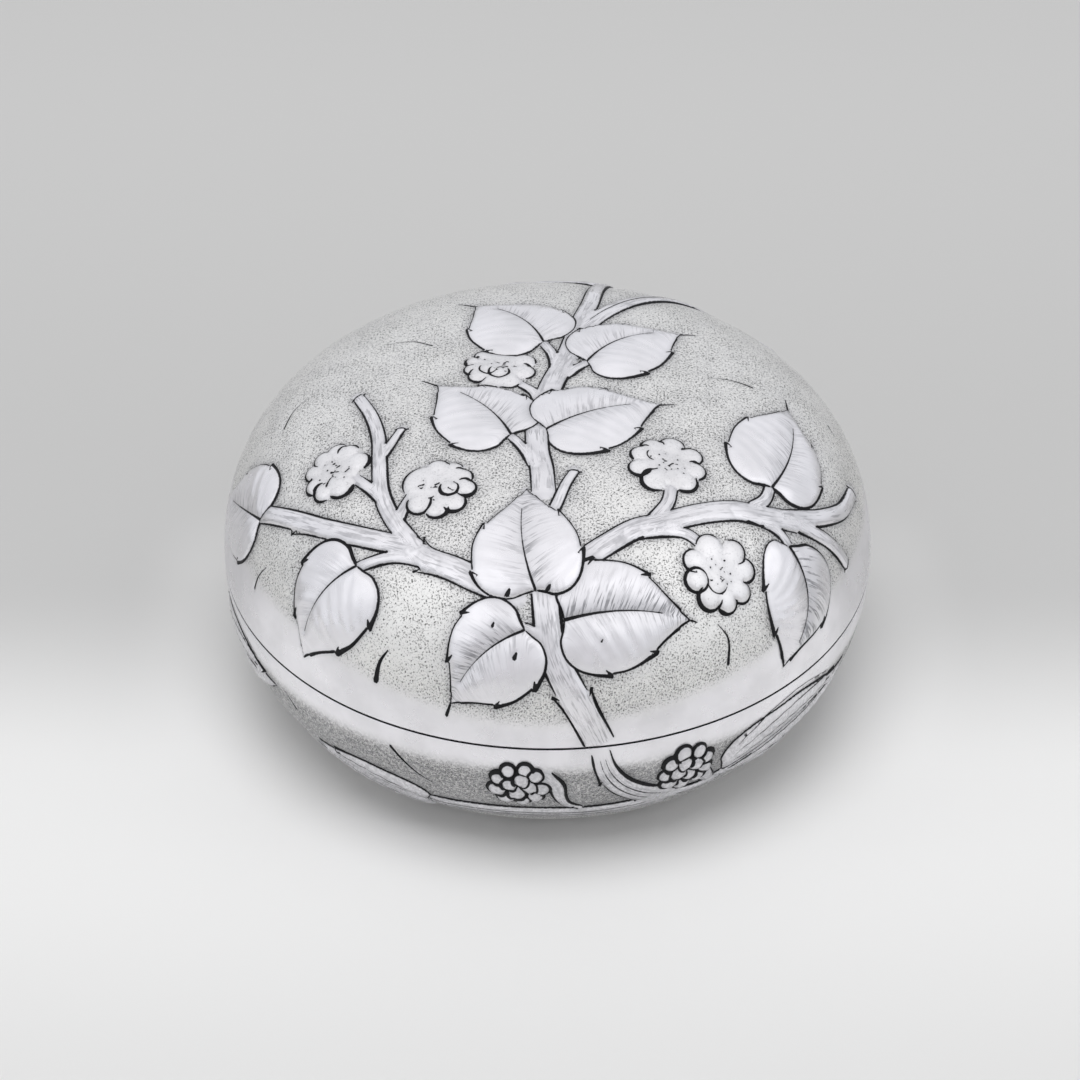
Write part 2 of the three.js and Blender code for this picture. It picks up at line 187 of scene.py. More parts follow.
class Dome:
    """One face of a sheet. Places are (x, y) in millimetres of arc from the pole; the seam is at reach."""

    def __init__(self, radius, height, powers, flat_radius, seam_level, up, straight, rounding):
        wall, crown = powers
        flat_turn = math.acos((flat_radius / radius) ** (wall / 2))
        full_height = height / math.sin(flat_turn) ** (2 / crown)
        turn = np.linspace(flat_turn, 0, PROFILE_STEPS)
        out = np.concatenate([[0], radius * np.cos(turn) ** (2 / wall)])
        level = np.concatenate([[height], full_height * np.sin(turn) ** (2 / crown)])
        if straight:
            kept = level > straight
            wall_radius = np.interp(-straight, -level, out)
            out = np.concatenate([out[kept], [wall_radius, wall_radius]])
            level = np.concatenate([level[kept], [straight, 0]])
        arc = arc_along(np.column_stack([out, level]))
        self.reach = arc[-1]
        self.arc = np.linspace(0, self.reach, TABLE_STEPS)
        self.out = np.interp(self.arc, arc, out)
        self.level = np.interp(self.arc, arc, level)
        if rounding:
            self.round_edge(rounding)
        slope_out = np.gradient(self.out, self.arc)
        slope_level = np.gradient(self.level, self.arc)
        size = np.hypot(slope_out, slope_level)
        self.normal_out = -slope_level / size
        self.normal_level = slope_out / size
        self.seam_level = seam_level
        self.up = up

    def round_edge(self, rounding):
        """Softens the crease round the flat base, by averaging the profile over a short length of arc."""
        step = self.arc[1] - self.arc[0]
        half = int(ROUNDING_REACH * rounding / step)
        weight = np.exp(-0.5 * (np.arange(-half, half + 1) * step / rounding) ** 2)
        weight /= weight.sum()
        for values, mirrored in ((self.out, -1), (self.level, 1)):
            before = mirrored * values[half:0:-1]
            after = 2 * values[-1] - values[-2 : -half - 2 : -1]
            smooth = np.convolve(np.concatenate([before, values, after]), weight, "valid")
            fade = np.clip((self.reach - self.arc) / (ROUNDING_FADE * rounding), 0, 1)
            values[:] = fade * smooth + (1 - fade) * values

    def place(self, points, lift):
        """Points in space, for places in the chart lifted off the face along its normal."""
        arc = away(points)
        turn = np.arctan2(points[:, 1], points[:, 0])
        out = np.interp(arc, self.arc, self.out) + lift * np.interp(arc, self.arc, self.normal_out)
        level = np.interp(arc, self.arc, self.level) + lift * np.interp(arc, self.arc, self.normal_level)
        z = self.seam_level + self.up * level
        return np.column_stack([out * np.cos(turn), out * np.sin(turn), z])


def sheet_faces(height, powers, flat_radius, seam_level, up, rounding):
    """The outside and the inside of a sheet; the inside is upright along its rim ring."""
    outside = Dome(SEAM_RADIUS, height, powers, flat_radius, seam_level, up, 0, rounding)
    flat = max(flat_radius - SHEET, 0)
    inside = Dome(SEAM_RADIUS - SHEET, height - SHEET, powers, flat, seam_level, up, RIM_HEIGHT, rounding)
    return outside, inside


LID_FACES = sheet_faces(LID_HEIGHT, LID_POWERS, 0, LID_SEAT, 1, 0)
BOWL_FACES = sheet_faces(BOWL_HEIGHT, BOWL_POWERS, BASE_RADIUS, BOWL_HEIGHT, -1, BASE_ROUND)
LID_REACH = LID_FACES[0].reach
BOWL_REACH = BOWL_FACES[0].reach


# Chased lines

SWELL_SHARE, SWELL_TURNS = 0.16, (4, 9)
END_SHARE = 0.45
HOOK_INWARD, HOOK_OVERLAP = 0.8, 0.1


class Stroke:
    """One chased line: its path, and half its width at each point."""

    def __init__(self, line, half_width):
        self.line = line
        self.half_width = np.broadcast_to(half_width, len(line)).astype(float)

    def evened(self, step):
        """The path with a point about every step, and the half widths there."""
        line = resample(self.line, step)
        share = np.linspace(0, 1, len(line))
        return line, np.interp(share, np.linspace(0, 1, len(self.line)), self.half_width)


def hand_width(count, half_width, random, taper=0.25):
    """Half widths along a line that swells and thins as a chasing tool's does, and tapers at both ends."""
    share = np.linspace(0, 1, count)
    waves = 1 + SWELL_SHARE * np.sin(share * random.uniform(*SWELL_TURNS) + random.uniform(0, 6))
    ends = np.clip(np.minimum(share, 1 - share) / taper, 0, 1)
    return half_width * waves * (END_SHARE + (1 - END_SHARE) * ends**0.7)


def points_along(place, span, bearing):
    """Points on a straight line through a place, at the distances in span."""
    return place + span[:, None] * bearing


def hook(line, end, outward, length, halves):
    """A short stroke back and inward from where a line breaks off, just before the index end."""
    back = unit(line[end - 3] - line[end - 1])
    bearing = unit(back - HOOK_INWARD * outward)
    span = np.linspace(-HOOK_OVERLAP, length, len(halves))
    return Stroke(points_along(line[end - 1], span, bearing), halves)


def comma(reach, path, weight=1.0):
    """A tapered stroke on the ground, heavier toward the front; weight is a share of the usual width."""
    line = spline(np.array(path) * reach, LINE_STEP)
    full = weight * (0.22 - 0.22 * np.array(path)[:, 1].mean())
    return Stroke(line, np.linspace(0.25, 1, len(line)) * full)


# Forms of the ornament: each gives its signed distance, height, grain, painted shade with oxide in its
# hollows, and strokes

# A leaf's edge on one side, as shares of its length and half width, from the notch at the base to the tip
LEAF_EDGE_SHARES = [
    (0, 0), (-0.02, 0.2), (-0.045, 0.42), (-0.01, 0.7), (0.08, 0.9), (0.2, 0.99), (0.33, 1),
    (0.48, 0.95), (0.6, 0.81), (0.7, 0.62), (0.8, 0.38), (0.89, 0.18), (0.95, 0.07), (1, 0),
]
BASE_NOTCH_ROWS = 3
RIB_LENGTH_SHARE = 0.76
CROWN_TOP_SHARE, CROWN_REACH = 0.6, 2.4
LEAF_LINE_HALF, RIB_LINE_HALF, VEIN_LINE_HALF = 0.22, 0.25, 0.13
TOOTH_RISE = 0.5
FIRST_TOOTH_SHARE, LAST_TOOTH_SHARE = 0.15, 0.93
RIPPLE_LENGTH, RIPPLE_RISE, RIPPLE_SLANT = 3.4, 0.05, 0.7
HATCH_SLANT, HATCH_START, HATCH_FADE_SHARE = 0.45, 1.2, 0.22
TICK_LENGTH = 1.6
TICK_SHARES = np.linspace(1.4, 0.45, 6)
DAB_LENGTH, DAB_HALF, DAB_BEARING = 0.9, 0.42, np.array([0.5, 1.0])

# A leaf's edge line is made wider, and so darker, on the side away from the light: painted shade in its
# groove
SHADE_SIDE = np.array([0.2, -0.98])
SHADE_WEIGHT = 0.25


class Leaf:
    """A pointed heart. base and tip are shares of the arc; halves are its half widths left and right of the
    line from base to tip, and bow is how far the midrib bows to the left, in millimetres. line and hatch
    weigh the edge's line and the hatching on those two sides."""

    def __init__(self, reach, base, tip, halves, bow, notches=((0.42, 0.7), (0.48, 0.76)), tail=0.0,
                 tail_halves=(0.26, 0.12), line=(1.0, 1.0), hatch=(0.6, 0.6), dabs=(), veins=(),
                 rib_weight=1.0, layer=LEAF_LAYER, seed=0):
        self.random = np.random.default_rng(RANDOM_SEED + seed)
        self.base, self.tip = np.array(base) * reach, np.array(tip) * reach
        self.along = unit(self.tip - self.base)
        self.left = np.array([-self.along[1], self.along[0]])
        self.length = np.hypot(*(self.tip - self.base))
        self.halves = halves
        self.bow = bow
        self.tail = tail
        self.tail_halves = tail_halves
        self.line_halves = {1: LEAF_LINE_HALF * line[0], -1: LEAF_LINE_HALF * line[1]}
        self.hatch = hatch
        self.dabs = [(np.array(dab[:2]) * reach, dab[2]) for dab in dabs]
        self.veins = veins
        self.rib_weight = rib_weight
        self.layer = layer
        self.rib = self.middle(np.linspace(0, RIB_LENGTH_SHARE, 24))
        self.axis = self.middle(np.linspace(0, 1, 32))
        self.sides = {1: self.side(1, halves[0], notches[0]), -1: self.side(-1, halves[1], notches[1])}
        self.polygon = np.vstack([self.sides[1][0], self.sides[-1][0][::-1]])
        self.low, self.high = self.polygon.min(0), self.polygon.max(0)

    def middle(self, share):
        """Places on the bowed axis."""
        sideways = 4 * self.bow * share * (1 - share)
        return self.base + (share * self.length)[:, None] * self.along + sideways[:, None] * self.left

    def side(self, sign, half, notches):
        """One edge from base to tip, how far its teeth draw each point out, and where its notches are."""
        shares = spline(LEAF_EDGE_SHARES, 0.01)
        line = self.base + (shares[:, :1] * self.length) * self.along
        line = resample(line + sign * half * shares[:, 1:] * self.left, LINE_STEP)
        share = np.linspace(0, 1, len(line))
        tooth = np.zeros(len(line))
        last = FIRST_TOOTH_SHARE
        for notch in (*notches, 1.0):
            inside = (share >= last) & (share < notch)
            tooth[inside] = ((share[inside] - last) / (notch - last)) ** 3
            last = notch
        tooth[share > LAST_TOOTH_SHARE] = 0
        places = [int(np.searchsorted(share, notch)) for notch in notches]
        return line + sign * TOOTH_RISE * tooth[:, None] * side_of(line), tooth, places

    def signed(self, points):
        """Distance inside the outline, negative outside."""
        gap = distance_to_line(points, np.vstack([self.polygon, self.polygon[:1]]))[0]
        return np.where(is_inside(points, self.polygon), gap, -gap)

    def height(self, points, depth):
        to_rib = distance_to_line(points, self.rib)[0]
        depth = np.maximum(depth, 0)
        share = depth / np.maximum(depth + to_rib, 1e-6)
        crown = LEAF_CROWN_RISE * np.sin(np.clip(share / CROWN_TOP_SHARE, 0, 1) * math.pi / 2)
        crown -= (LEAF_CROWN_RISE - LEAF_RIB_RISE) * smooth_step(share, CROWN_TOP_SHARE, 1.02)
        crown *= 1 - np.exp(-(depth + to_rib) / CROWN_REACH)
        edge = LEAF_EDGE_RISE * smooth_step(depth, 0, EDGE_SLOPE)
        over = OVERLAP_RISE if self.layer > LEAF_LAYER else 0
        return edge + crown + over * smooth_step(depth, 0, 0.4) + self.ripple(points, depth, to_rib)

    def ripple(self, points, depth, to_rib):
        """Low slanting swells between the side veins."""
        off, along, side = distance_to_line(points, self.axis)
        phase = (along - RIPPLE_SLANT * off) / RIPPLE_LENGTH * 2 * math.pi + 1.3 * side + self.base[0]
        return RIPPLE_RISE * np.sin(phase) * smooth_step(depth, 0.3, 2.0) * smooth_step(to_rib, 0.3, 1.6)

    def grain(self, points):
        """Out from the midrib and along it, in millimetres, and how strongly the hatching shows."""
        off, along, side = distance_to_line(points, self.axis)
        reach, strength = np.where(side > 0, *self.halves), np.where(side > 0, *self.hatch)
        fade = np.exp(-np.maximum(off - HATCH_START, 0) / (HATCH_FADE_SHARE * reach))
        return off, along - HATCH_SLANT * off, strength * fade

    def oxide_and_painted_shade(self, points):
        """Painted shade, with some oxide in the valley: darker close to the midrib, and where the hatching
        is.
        """
        off, _, side = distance_to_line(points, self.rib)
        strength = np.where(side > 0, *self.hatch)
        return 0.3 * np.exp(-off / 0.6) + 0.42 * strength * np.exp(-((off / 3.0) ** 2))

    def strokes(self):
        for sign, (line, tooth, notches) in self.sides.items():
            outward = sign * side_of(line)
            # Painted shade: the edge's line is wider and darker on the side away from the light
            shade = 1 + SHADE_WEIGHT * (outward @ SHADE_SIDE)
            line_half = self.line_halves[sign]
            half = line_half * shade * (0.75 + 0.9 * tooth) * hand_width(len(line), 1, self.random, 0.03)
            for start, end in zip([0, *notches], [*notches, len(line)]):
                yield Stroke(line[start:end], half[start:end])
            for notch in notches:
                halves = shade[notch] * TICK_SHARES * line_half
                yield hook(line, notch, outward[notch - 2], TICK_LENGTH, halves)
        rib = resample(self.rib, LINE_STEP)
        half = self.rib_weight * RIB_LINE_HALF * (0.35 + 0.75 * np.linspace(1, 0, len(rib)) ** 1.7)
        yield Stroke(rib, half)
        if self.tail:
            bearing = unit(self.tip - self.middle(np.array([0.9]))[0])
            tail = points_along(self.tip, np.linspace(-0.3, self.tail, 8), bearing)
            yield Stroke(tail, np.linspace(*self.tail_halves, 8))
        for place, size in self.dabs:
            mark = points_along(place, np.linspace(-0.5, 0.5, 4) * size * DAB_LENGTH, unit(DAB_BEARING))
            yield Stroke(mark, size * DAB_HALF * np.linspace(1.1, 0.6, 4))
        for share in self.veins:
            shares = np.linspace(0.04, 0.8, 30)
            swell = np.interp(shares, *np.array(LEAF_EDGE_SHARES)[BASE_NOTCH_ROWS:].T)
            half = self.halves[0] if share > 0 else self.halves[1]
            vein = self.middle(shares) + (share * half * swell)[:, None] * self.left
            yield Stroke(vein, hand_width(len(vein), VEIN_LINE_HALF, self.random))


BRANCH_LINE_HALF, INNER_LINE_HALF, CUT_LINE_HALF = 0.21, 0.14, 0.2
BRANCH_STEP, BRANCH_GRAIN = 0.5, 0.6
BARB_RISE, BARB_SHARE, BARB_HOOK = 0.9, 0.22, 1.3
FULL_BRANCH_HALF, THIN_BRANCH_SHARE = 1.6, 0.55
BARB_HOOK_SHARES = np.linspace(1.3, 0.4, 5)
CUT_OVERHANG, CUT_SLANT = 0.35, 0.8


class Branch:
    """path is in shares of the arc, and widths are those of its two ends, in millimetres. barbs are sides and
    places along it, inner lines lie at shares of its half width, and it rises from the ground over rising."""

    layer = BRANCH_LAYER

    def __init__(self, reach, path, widths, cut_end=False, barbs=(), line=1.0, rising=0.01, inner=(), seed=0):
        self.random = np.random.default_rng(RANDOM_SEED + 100 + seed)
        self.line = spline(np.array(path) * reach, BRANCH_STEP)
        self.half = np.linspace(*widths, len(self.line)) / 2
        self.arc = np.linspace(0, 1, len(self.line)) * np.hypot(*np.diff(self.line, axis=0).T).sum()
        self.barbs = barbs
        self.line_half = BRANCH_LINE_HALF * line
        self.cut_end = cut_end
        self.rising = rising
        self.inner = inner
        self.low, self.high = self.line.min(0) - max(widths), self.line.max(0) + max(widths)

    def signed(self, points):
        gap, along, _ = distance_to_line(points, self.line)
        return np.interp(along, self.arc, self.half) - gap

    def height(self, points, depth):
        gap, along, _ = distance_to_line(points, self.line)
        half = np.interp(along, self.arc, self.half)
        share = np.clip(gap / half, 0, 1)
        body = BRANCH_EDGE_RISE + (BRANCH_RISE - BRANCH_EDGE_RISE) * np.sqrt(1 - share**2)
        body *= np.clip(half / FULL_BRANCH_HALF, THIN_BRANCH_SHARE, 1)
        return body * smooth_step(depth, 0, EDGE_SLOPE) * smooth_step(along, 0, self.rising)

    def grain(self, points):
        gap, along, side = distance_to_line(points, self.line)
        return along, gap * side, BRANCH_GRAIN * smooth_step(along, 0, self.rising)

    def oxide_and_painted_shade(self, points):
        return np.zeros(len(points))

    def strokes(self):
        left = side_of(self.line)
        ends = np.linspace(0, 1, len(self.line))
        for sign in (-1, 1):
            offset = self.half.copy()
            places = [place for side, place in self.barbs if side == sign]
            for place in places:
                near = (ends <= place) & (ends > place - BARB_SHARE)
                offset[near] += BARB_RISE * ((ends[near] - place + BARB_SHARE) / BARB_SHARE) ** 3
            line = self.line + sign * offset[:, None] * left
            breaks = [0, *[int(place * (len(line) - 1)) + 1 for place in places], len(line)]
            for start, end in zip(breaks[:-1], breaks[1:]):
                if end - start > 2:
                    yield Stroke(line[start:end], hand_width(end - start, self.line_half, self.random))
                if end < len(line):
                    outward = sign * left[end - 1]
                    yield hook(line, end, outward, BARB_HOOK, BARB_HOOK_SHARES * self.line_half)
        for share in self.inner:
            line = (self.line + share * self.half[:, None] * left)[4:-2]
            yield Stroke(line, hand_width(len(line), INNER_LINE_HALF, self.random))
        if self.cut_end:
            across = left[-1] * (self.half[-1] + CUT_OVERHANG)
            slant = self.line[-1] - self.line[-2]
            share = np.linspace(-1, 1, 7)[:, None]
            yield Stroke(self.line[-1] + across * share - slant * share * CUT_SLANT, CUT_LINE_HALF)


# The drupelets of a full berry: how many lie how far out, and their size, as shares of its radius
FULL_RINGS = [(9, 0.74, 0.29), (4, 0.32, 0.29)]
SCALLOP_COUNT, SCALLOP_DISTANCE_SHARE, SCALLOP_SIZE_SHARE = 9, 0.72, 0.29
PLAIN_SHARE = 0.72
BERRY_DOTS, DOT_REACH_SHARES, DOT_HALVES = 20, (0.05, 0.52), (0.11, 0.2)
DOT_LINE = np.array([[-0.04, 0], [0.04, 0.02]])


class Berry:
    """A mound of drupelets. A full one has them all over. Another has only those in scallops, round a plain
    middle. Each is its bearing, its distance out, its size, where its line starts and ends, in degrees from
    its bearing, and how heavy the line is."""

    layer = BERRY_LAYER

    def __init__(self, reach, centre, radius=BERRY_RADIUS, scallops=(), full=False, turned=0.0,
                 line_half=0.27, seed=0):
        self.random = np.random.default_rng(RANDOM_SEED + 200 + seed)
        self.centre = np.array(centre) * reach
        self.radius = radius
        self.full = full
        self.line_half = line_half
        self.scallops = self.ringed(turned) if full else scallops or self.scalloped()
        self.drupelets = []
        for bearing, distance, size, *_ in self.scallops:
            self.drupelets.append((self.centre + bearing_at(bearing) * distance * radius, size * radius))
        self.low, self.high = self.centre - radius * 1.15, self.centre + radius * 1.15

    def ringed(self, turned):
        result = []
        for count, distance, size in FULL_RINGS:
            for i in range(count):
                bearing = turned + (i + self.random.uniform(-0.13, 0.13)) / count * 360
                scale = self.random.uniform(0.9, 1.12)
                result.append((bearing, distance, size * scale, -180, 180, self.random.uniform(0.75, 1.1)))
        return result

    def scalloped(self):
        """Drupelets that are each drawn as a hook, which curls in at one end or the other."""
        result = []
        for i in range(SCALLOP_COUNT):
            bearing = 360 / SCALLOP_COUNT * i + self.random.uniform(-5, 5)
            curl = self.random.uniform(0, 70)
            start, end = (-65 - curl, 65) if i % 2 else (-65, 65 + curl)
            weight = self.random.uniform(0.7, 1.1)
            result.append((bearing, SCALLOP_DISTANCE_SHARE, SCALLOP_SIZE_SHARE, start, end, weight))
        return result

    def signed(self, points):
        depth = (0 if self.full else PLAIN_SHARE) * self.radius - away(points, self.centre)
        for centre, size in self.drupelets:
            depth = np.maximum(depth, size - away(points, centre))
        return depth

    def height(self, points, depth):
        share = np.clip(away(points, self.centre) / (1.05 * self.radius), 0, 1)
        mound = BERRY_MOUND_RISE * np.sqrt(1 - share**2)
        caps = np.zeros(len(points))
        for centre, size in self.drupelets:
            near = np.clip(away(points, centre) / size, 0, 1)
            tall = 1.0 if self.full else 0.75
            caps = np.maximum(caps, tall * DRUPELET_RISE * (1 - near**2))
        edge = BERRY_EDGE_RISE * smooth_step(depth, 0, EDGE_SLOPE)
        return edge + mound * smooth_step(depth, 0, 0.8) + caps

    def grain(self, points):
        return points[:, 0], points[:, 1], np.zeros(len(points))

    def oxide_and_painted_shade(self, points):
        """Painted shade: darker between the drupelets."""
        gaps = [away(points, centre) / size for centre, size in self.drupelets]
        return (1.0 if self.full else 0.25) * np.clip(np.min(gaps, axis=0), 0, 1) ** 2

    def edge_lines(self, rank, bearing, start, end, half):
        """One drupelet's line, less the parts that later drupelets of a full berry cover."""
        centre, size = self.drupelets[rank]
        count = max(4, int(math.radians(end - start) * size / 0.2))
        angles = np.radians(bearing + np.linspace(start, end, count))
        line = centre + size * np.column_stack([np.cos(angles), np.sin(angles)])
        slant = np.linspace(*self.random.permutation([0.8, 1.15]), len(line))
        width = hand_width(len(line), half, self.random, 0.18) * slant
        shown = np.ones(len(line), bool)
        if self.full:
            for other_centre, other_size in self.drupelets[rank + 1 :]:
                shown &= away(line, other_centre) > other_size - 0.12
        return [Stroke(line[a:b], width[a:b]) for a, b in kept_runs(shown) if b - a > 2]

    def strokes(self):
        for rank, (bearing, _, _, start, end, weight) in enumerate(self.scallops):
            yield from self.edge_lines(rank, bearing, start, end, self.line_half * weight)
        for _ in range(0 if self.full else BERRY_DOTS):
            turn, far = self.random.uniform(0, 6.3), self.random.uniform(*DOT_REACH_SHARES) * self.radius
            place = self.centre + far * np.array([math.cos(turn), math.sin(turn)])
            yield Stroke(place + DOT_LINE, self.random.uniform(*DOT_HALVES))


# The lid's ornament: places are shares of the arc from the pole to the seam, x right and y away

# Short punched marks on the front leaves, each with its size as a share of the usual one
CENTRE_DABS = ((-0.088, -0.636, 1.0), (0.001, -0.629, 1.0))
FRONT_LEFT_DABS = ((-0.125, -0.703, 0.7), (-0.077, -0.772, 1.0))
FRONT_RIGHT_DABS = ((0.124, -0.737, 0.5),)

LID_LEAVES = [
    dict(base=(-0.01, 0.18), tip=(-0.172, 0.37), halves=(9.8, 10.2), bow=-2.3, tail=3.6, line=(0.85, 0.85),
         hatch=(0.3, 0.55), seed=1),
    dict(base=(0.091, 0.098), tip=(0.312, 0.245), halves=(9.6, 8.5), bow=2.8, tail=2.8, line=(0.85, 0.85),
         hatch=(0.5, 0.3), seed=2),
    dict(base=(-0.083, -0.191), tip=(-0.251, 0.006), halves=(9.2, 9.4), bow=-1.9, tail=3.2, line=(0.9, 0.9),
         hatch=(0.3, 0.7), seed=3),
    dict(base=(-0.003, -0.173), tip=(0.254, -0.069), halves=(10.4, 9.0), bow=2.0, tail=2.4, line=(0.9, 0.9),
         hatch=(0.6, 0.4), seed=4),
    dict(base=(-0.054, -0.719), tip=(-0.255, -0.868), halves=(8.9, 9.5), bow=-1.9, tail=2.6, line=(1.3, 1.4),
         tail_halves=(0.24, 0.4), hatch=(0.6, 1.3), dabs=FRONT_LEFT_DABS, seed=5),
    dict(base=(0.037, -0.698), tip=(0.333, -0.665), halves=(10.1, 9.7), bow=1.1, tail=1.4, line=(1.5, 1.25),
         hatch=(2.1, 0.6), rib_weight=1.25, dabs=FRONT_RIGHT_DABS, seed=6),
    dict(base=(-0.438, -0.515), tip=(-0.671, -0.65), halves=(9.8, 10.0), bow=-2.3, line=(1.4, 2.1),
         hatch=(0.1, 0.25), seed=7),
    dict(base=(-0.702, -0.264), tip=(-0.85, -0.04), halves=(9.7, 8.8), bow=0.5, hatch=(0.4, 0.6), seed=8),
    dict(base=(0.508, -0.284), tip=(0.561, 0.012), halves=(9.4, 9.7), bow=-2.1, tail=3.0, line=(1.1, 1.3),
         hatch=(0.6, 0.4), seed=9),
    dict(base=(0.563, -0.419), tip=(0.651, -0.684), halves=(12.3, 6.6), bow=4.6, line=(2.0, 1.1),
         notches=((0.62,), (0.48, 0.76)), hatch=(1.7, 0.5), rib_weight=1.2, seed=10),
    dict(base=(-0.028, -0.634), tip=(-0.047, -0.374), halves=(10.7, 8.5), bow=1.6, layer=TOP_LAYER,
         line=(0.95, 1.05), hatch=(0.6, 1.0), dabs=CENTRE_DABS, seed=11),
    dict(base=(0.17, 0.66), tip=(0.32, 0.84), halves=(9.4, 9.4), bow=-2.0, tail=2.4, seed=12),
    dict(base=(-0.02, 0.66), tip=(-0.12, 0.88), halves=(9.4, 9.4), bow=2.0, tail=2.0, seed=13),
    dict(base=(-0.42, 0.6), tip=(-0.6, 0.7), halves=(9.2, 9.2), bow=2.0, tail=2.0, seed=14),
    dict(base=(0.52, 0.52), tip=(0.7, 0.6), halves=(9.2, 9.2), bow=-2.0, tail=2.0, seed=15),
]

# The drupelets of the scalloped berries, as Berry says
LEFT_SCALLOPS = [
    (56, 0.72, 0.3, -30, 124, 0.9),
    (86, 0.72, 0.34, -40, 65, 0.95),
    (122, 0.72, 0.3, -55, 120, 0.9),
    (161, 0.72, 0.29, -50, 75, 0.9),
    (203, 0.72, 0.29, -100, 50, 1.0),
    (239, 0.74, 0.3, -150, 50, 1.0),
    (285, 0.6, 0.42, -65, 60, 1.1),
    (285, 0.6, 0.4, -165, -110, 0.7),
    (12, 0.7, 0.34, -70, 55, 1.0),
]
NEAR_LEFT_SCALLOPS = [
    (149, 0.42, 0.6, -50, 52, 1.0),
    (90, 0.7, 0.33, -80, 50, 0.85),
    (56, 0.68, 0.34, -25, 40, 0.7),
    (26, 0.72, 0.3, -50, 90, 1.0),
    (352, 0.76, 0.29, -125, 130, 1.05),
    (340, 0.34, 0.25, -190, 60, 1.1),
    (308, 0.72, 0.32, -90, 80, 1.0),
    (268, 0.7, 0.33, -60, 80, 1.05),
    (224, 0.7, 0.34, -75, 150, 0.95),
]
FAR_SCALLOPS = [
    (160, 0.78, 0.23, -110, 110, 1.2),
    (188, 0.72, 0.28, -60, 60, 0.9),
    (216, 0.74, 0.27, -95, 110, 0.9),
    (205, 0.36, 0.24, -60, 150, 0.8),
    (265, 0.3, 0.28, -130, 120, 1.0),
    (128, 0.72, 0.27, -90, 100, 1.0),
    (92, 0.72, 0.34, -50, 60, 0.8),
    (250, 0.74, 0.28, -30, 60, 1.1),
    (290, 0.7, 0.33, -60, 40, 0.8),
    (340, 0.7, 0.31, -60, 110, 0.9),
    (24, 0.7, 0.34, -40, 50, 0.7),
]
RIGHT_SCALLOPS = [
    (153, 0.72, 0.3, -95, 70, 0.9),
    (195, 0.72, 0.3, -65, 140, 1.0),
    (241, 0.7, 0.34, -150, 60, 1.15),
    (309, 0.7, 0.33, -65, 80, 1.15),
    (350, 0.72, 0.29, -60, 130, 0.9),
    (32, 0.72, 0.31, -80, 110, 1.0),
    (80, 0.7, 0.34, -75, 80, 0.95),
    (121, 0.72, 0.3, -110, 65, 0.9),
    (140, 0.42, 0.2, 0, 120, 0.6),
]
NEAR_RIGHT_SCALLOPS = [
    (168, 0.72, 0.31, -70, 110, 0.8),
    (120, 0.68, 0.36, -60, 60, 0.7),
    (64, 0.72, 0.32, -130, 55, 0.95),
    (22, 0.72, 0.31, -115, 75, 1.15),
    (-24, 0.72, 0.29, -100, 100, 0.9),
    (-66, 0.72, 0.3, -64, 90, 1.2),
    (-107, 0.72, 0.32, -109, 111, 1.2),
    (-152, 0.72, 0.3, -178, 178, 0.95),
    (255, 0.28, 0.27, -60, 90, 0.6),
]
LID_BERRIES = [
    dict(centre=(-0.48, -0.248), radius=6.3, scallops=LEFT_SCALLOPS, line_half=0.29, seed=1),
    dict(centre=(-0.243, -0.356), radius=6.5, scallops=NEAR_LEFT_SCALLOPS, line_half=0.28, seed=2),
    dict(centre=(-0.109, 0.073), radius=6.6, scallops=FAR_SCALLOPS, line_half=0.25, seed=3),
    dict(centre=(0.264, -0.282), radius=6.9, scallops=RIGHT_SCALLOPS, line_half=0.28, seed=4),
    dict(centre=(0.392, -0.545), radius=7.1, scallops=NEAR_RIGHT_SCALLOPS, line_half=0.29, seed=5),
    dict(centre=(0.46, 0.7), seed=6),
    dict(centre=(-0.24, 0.7), seed=7),
]
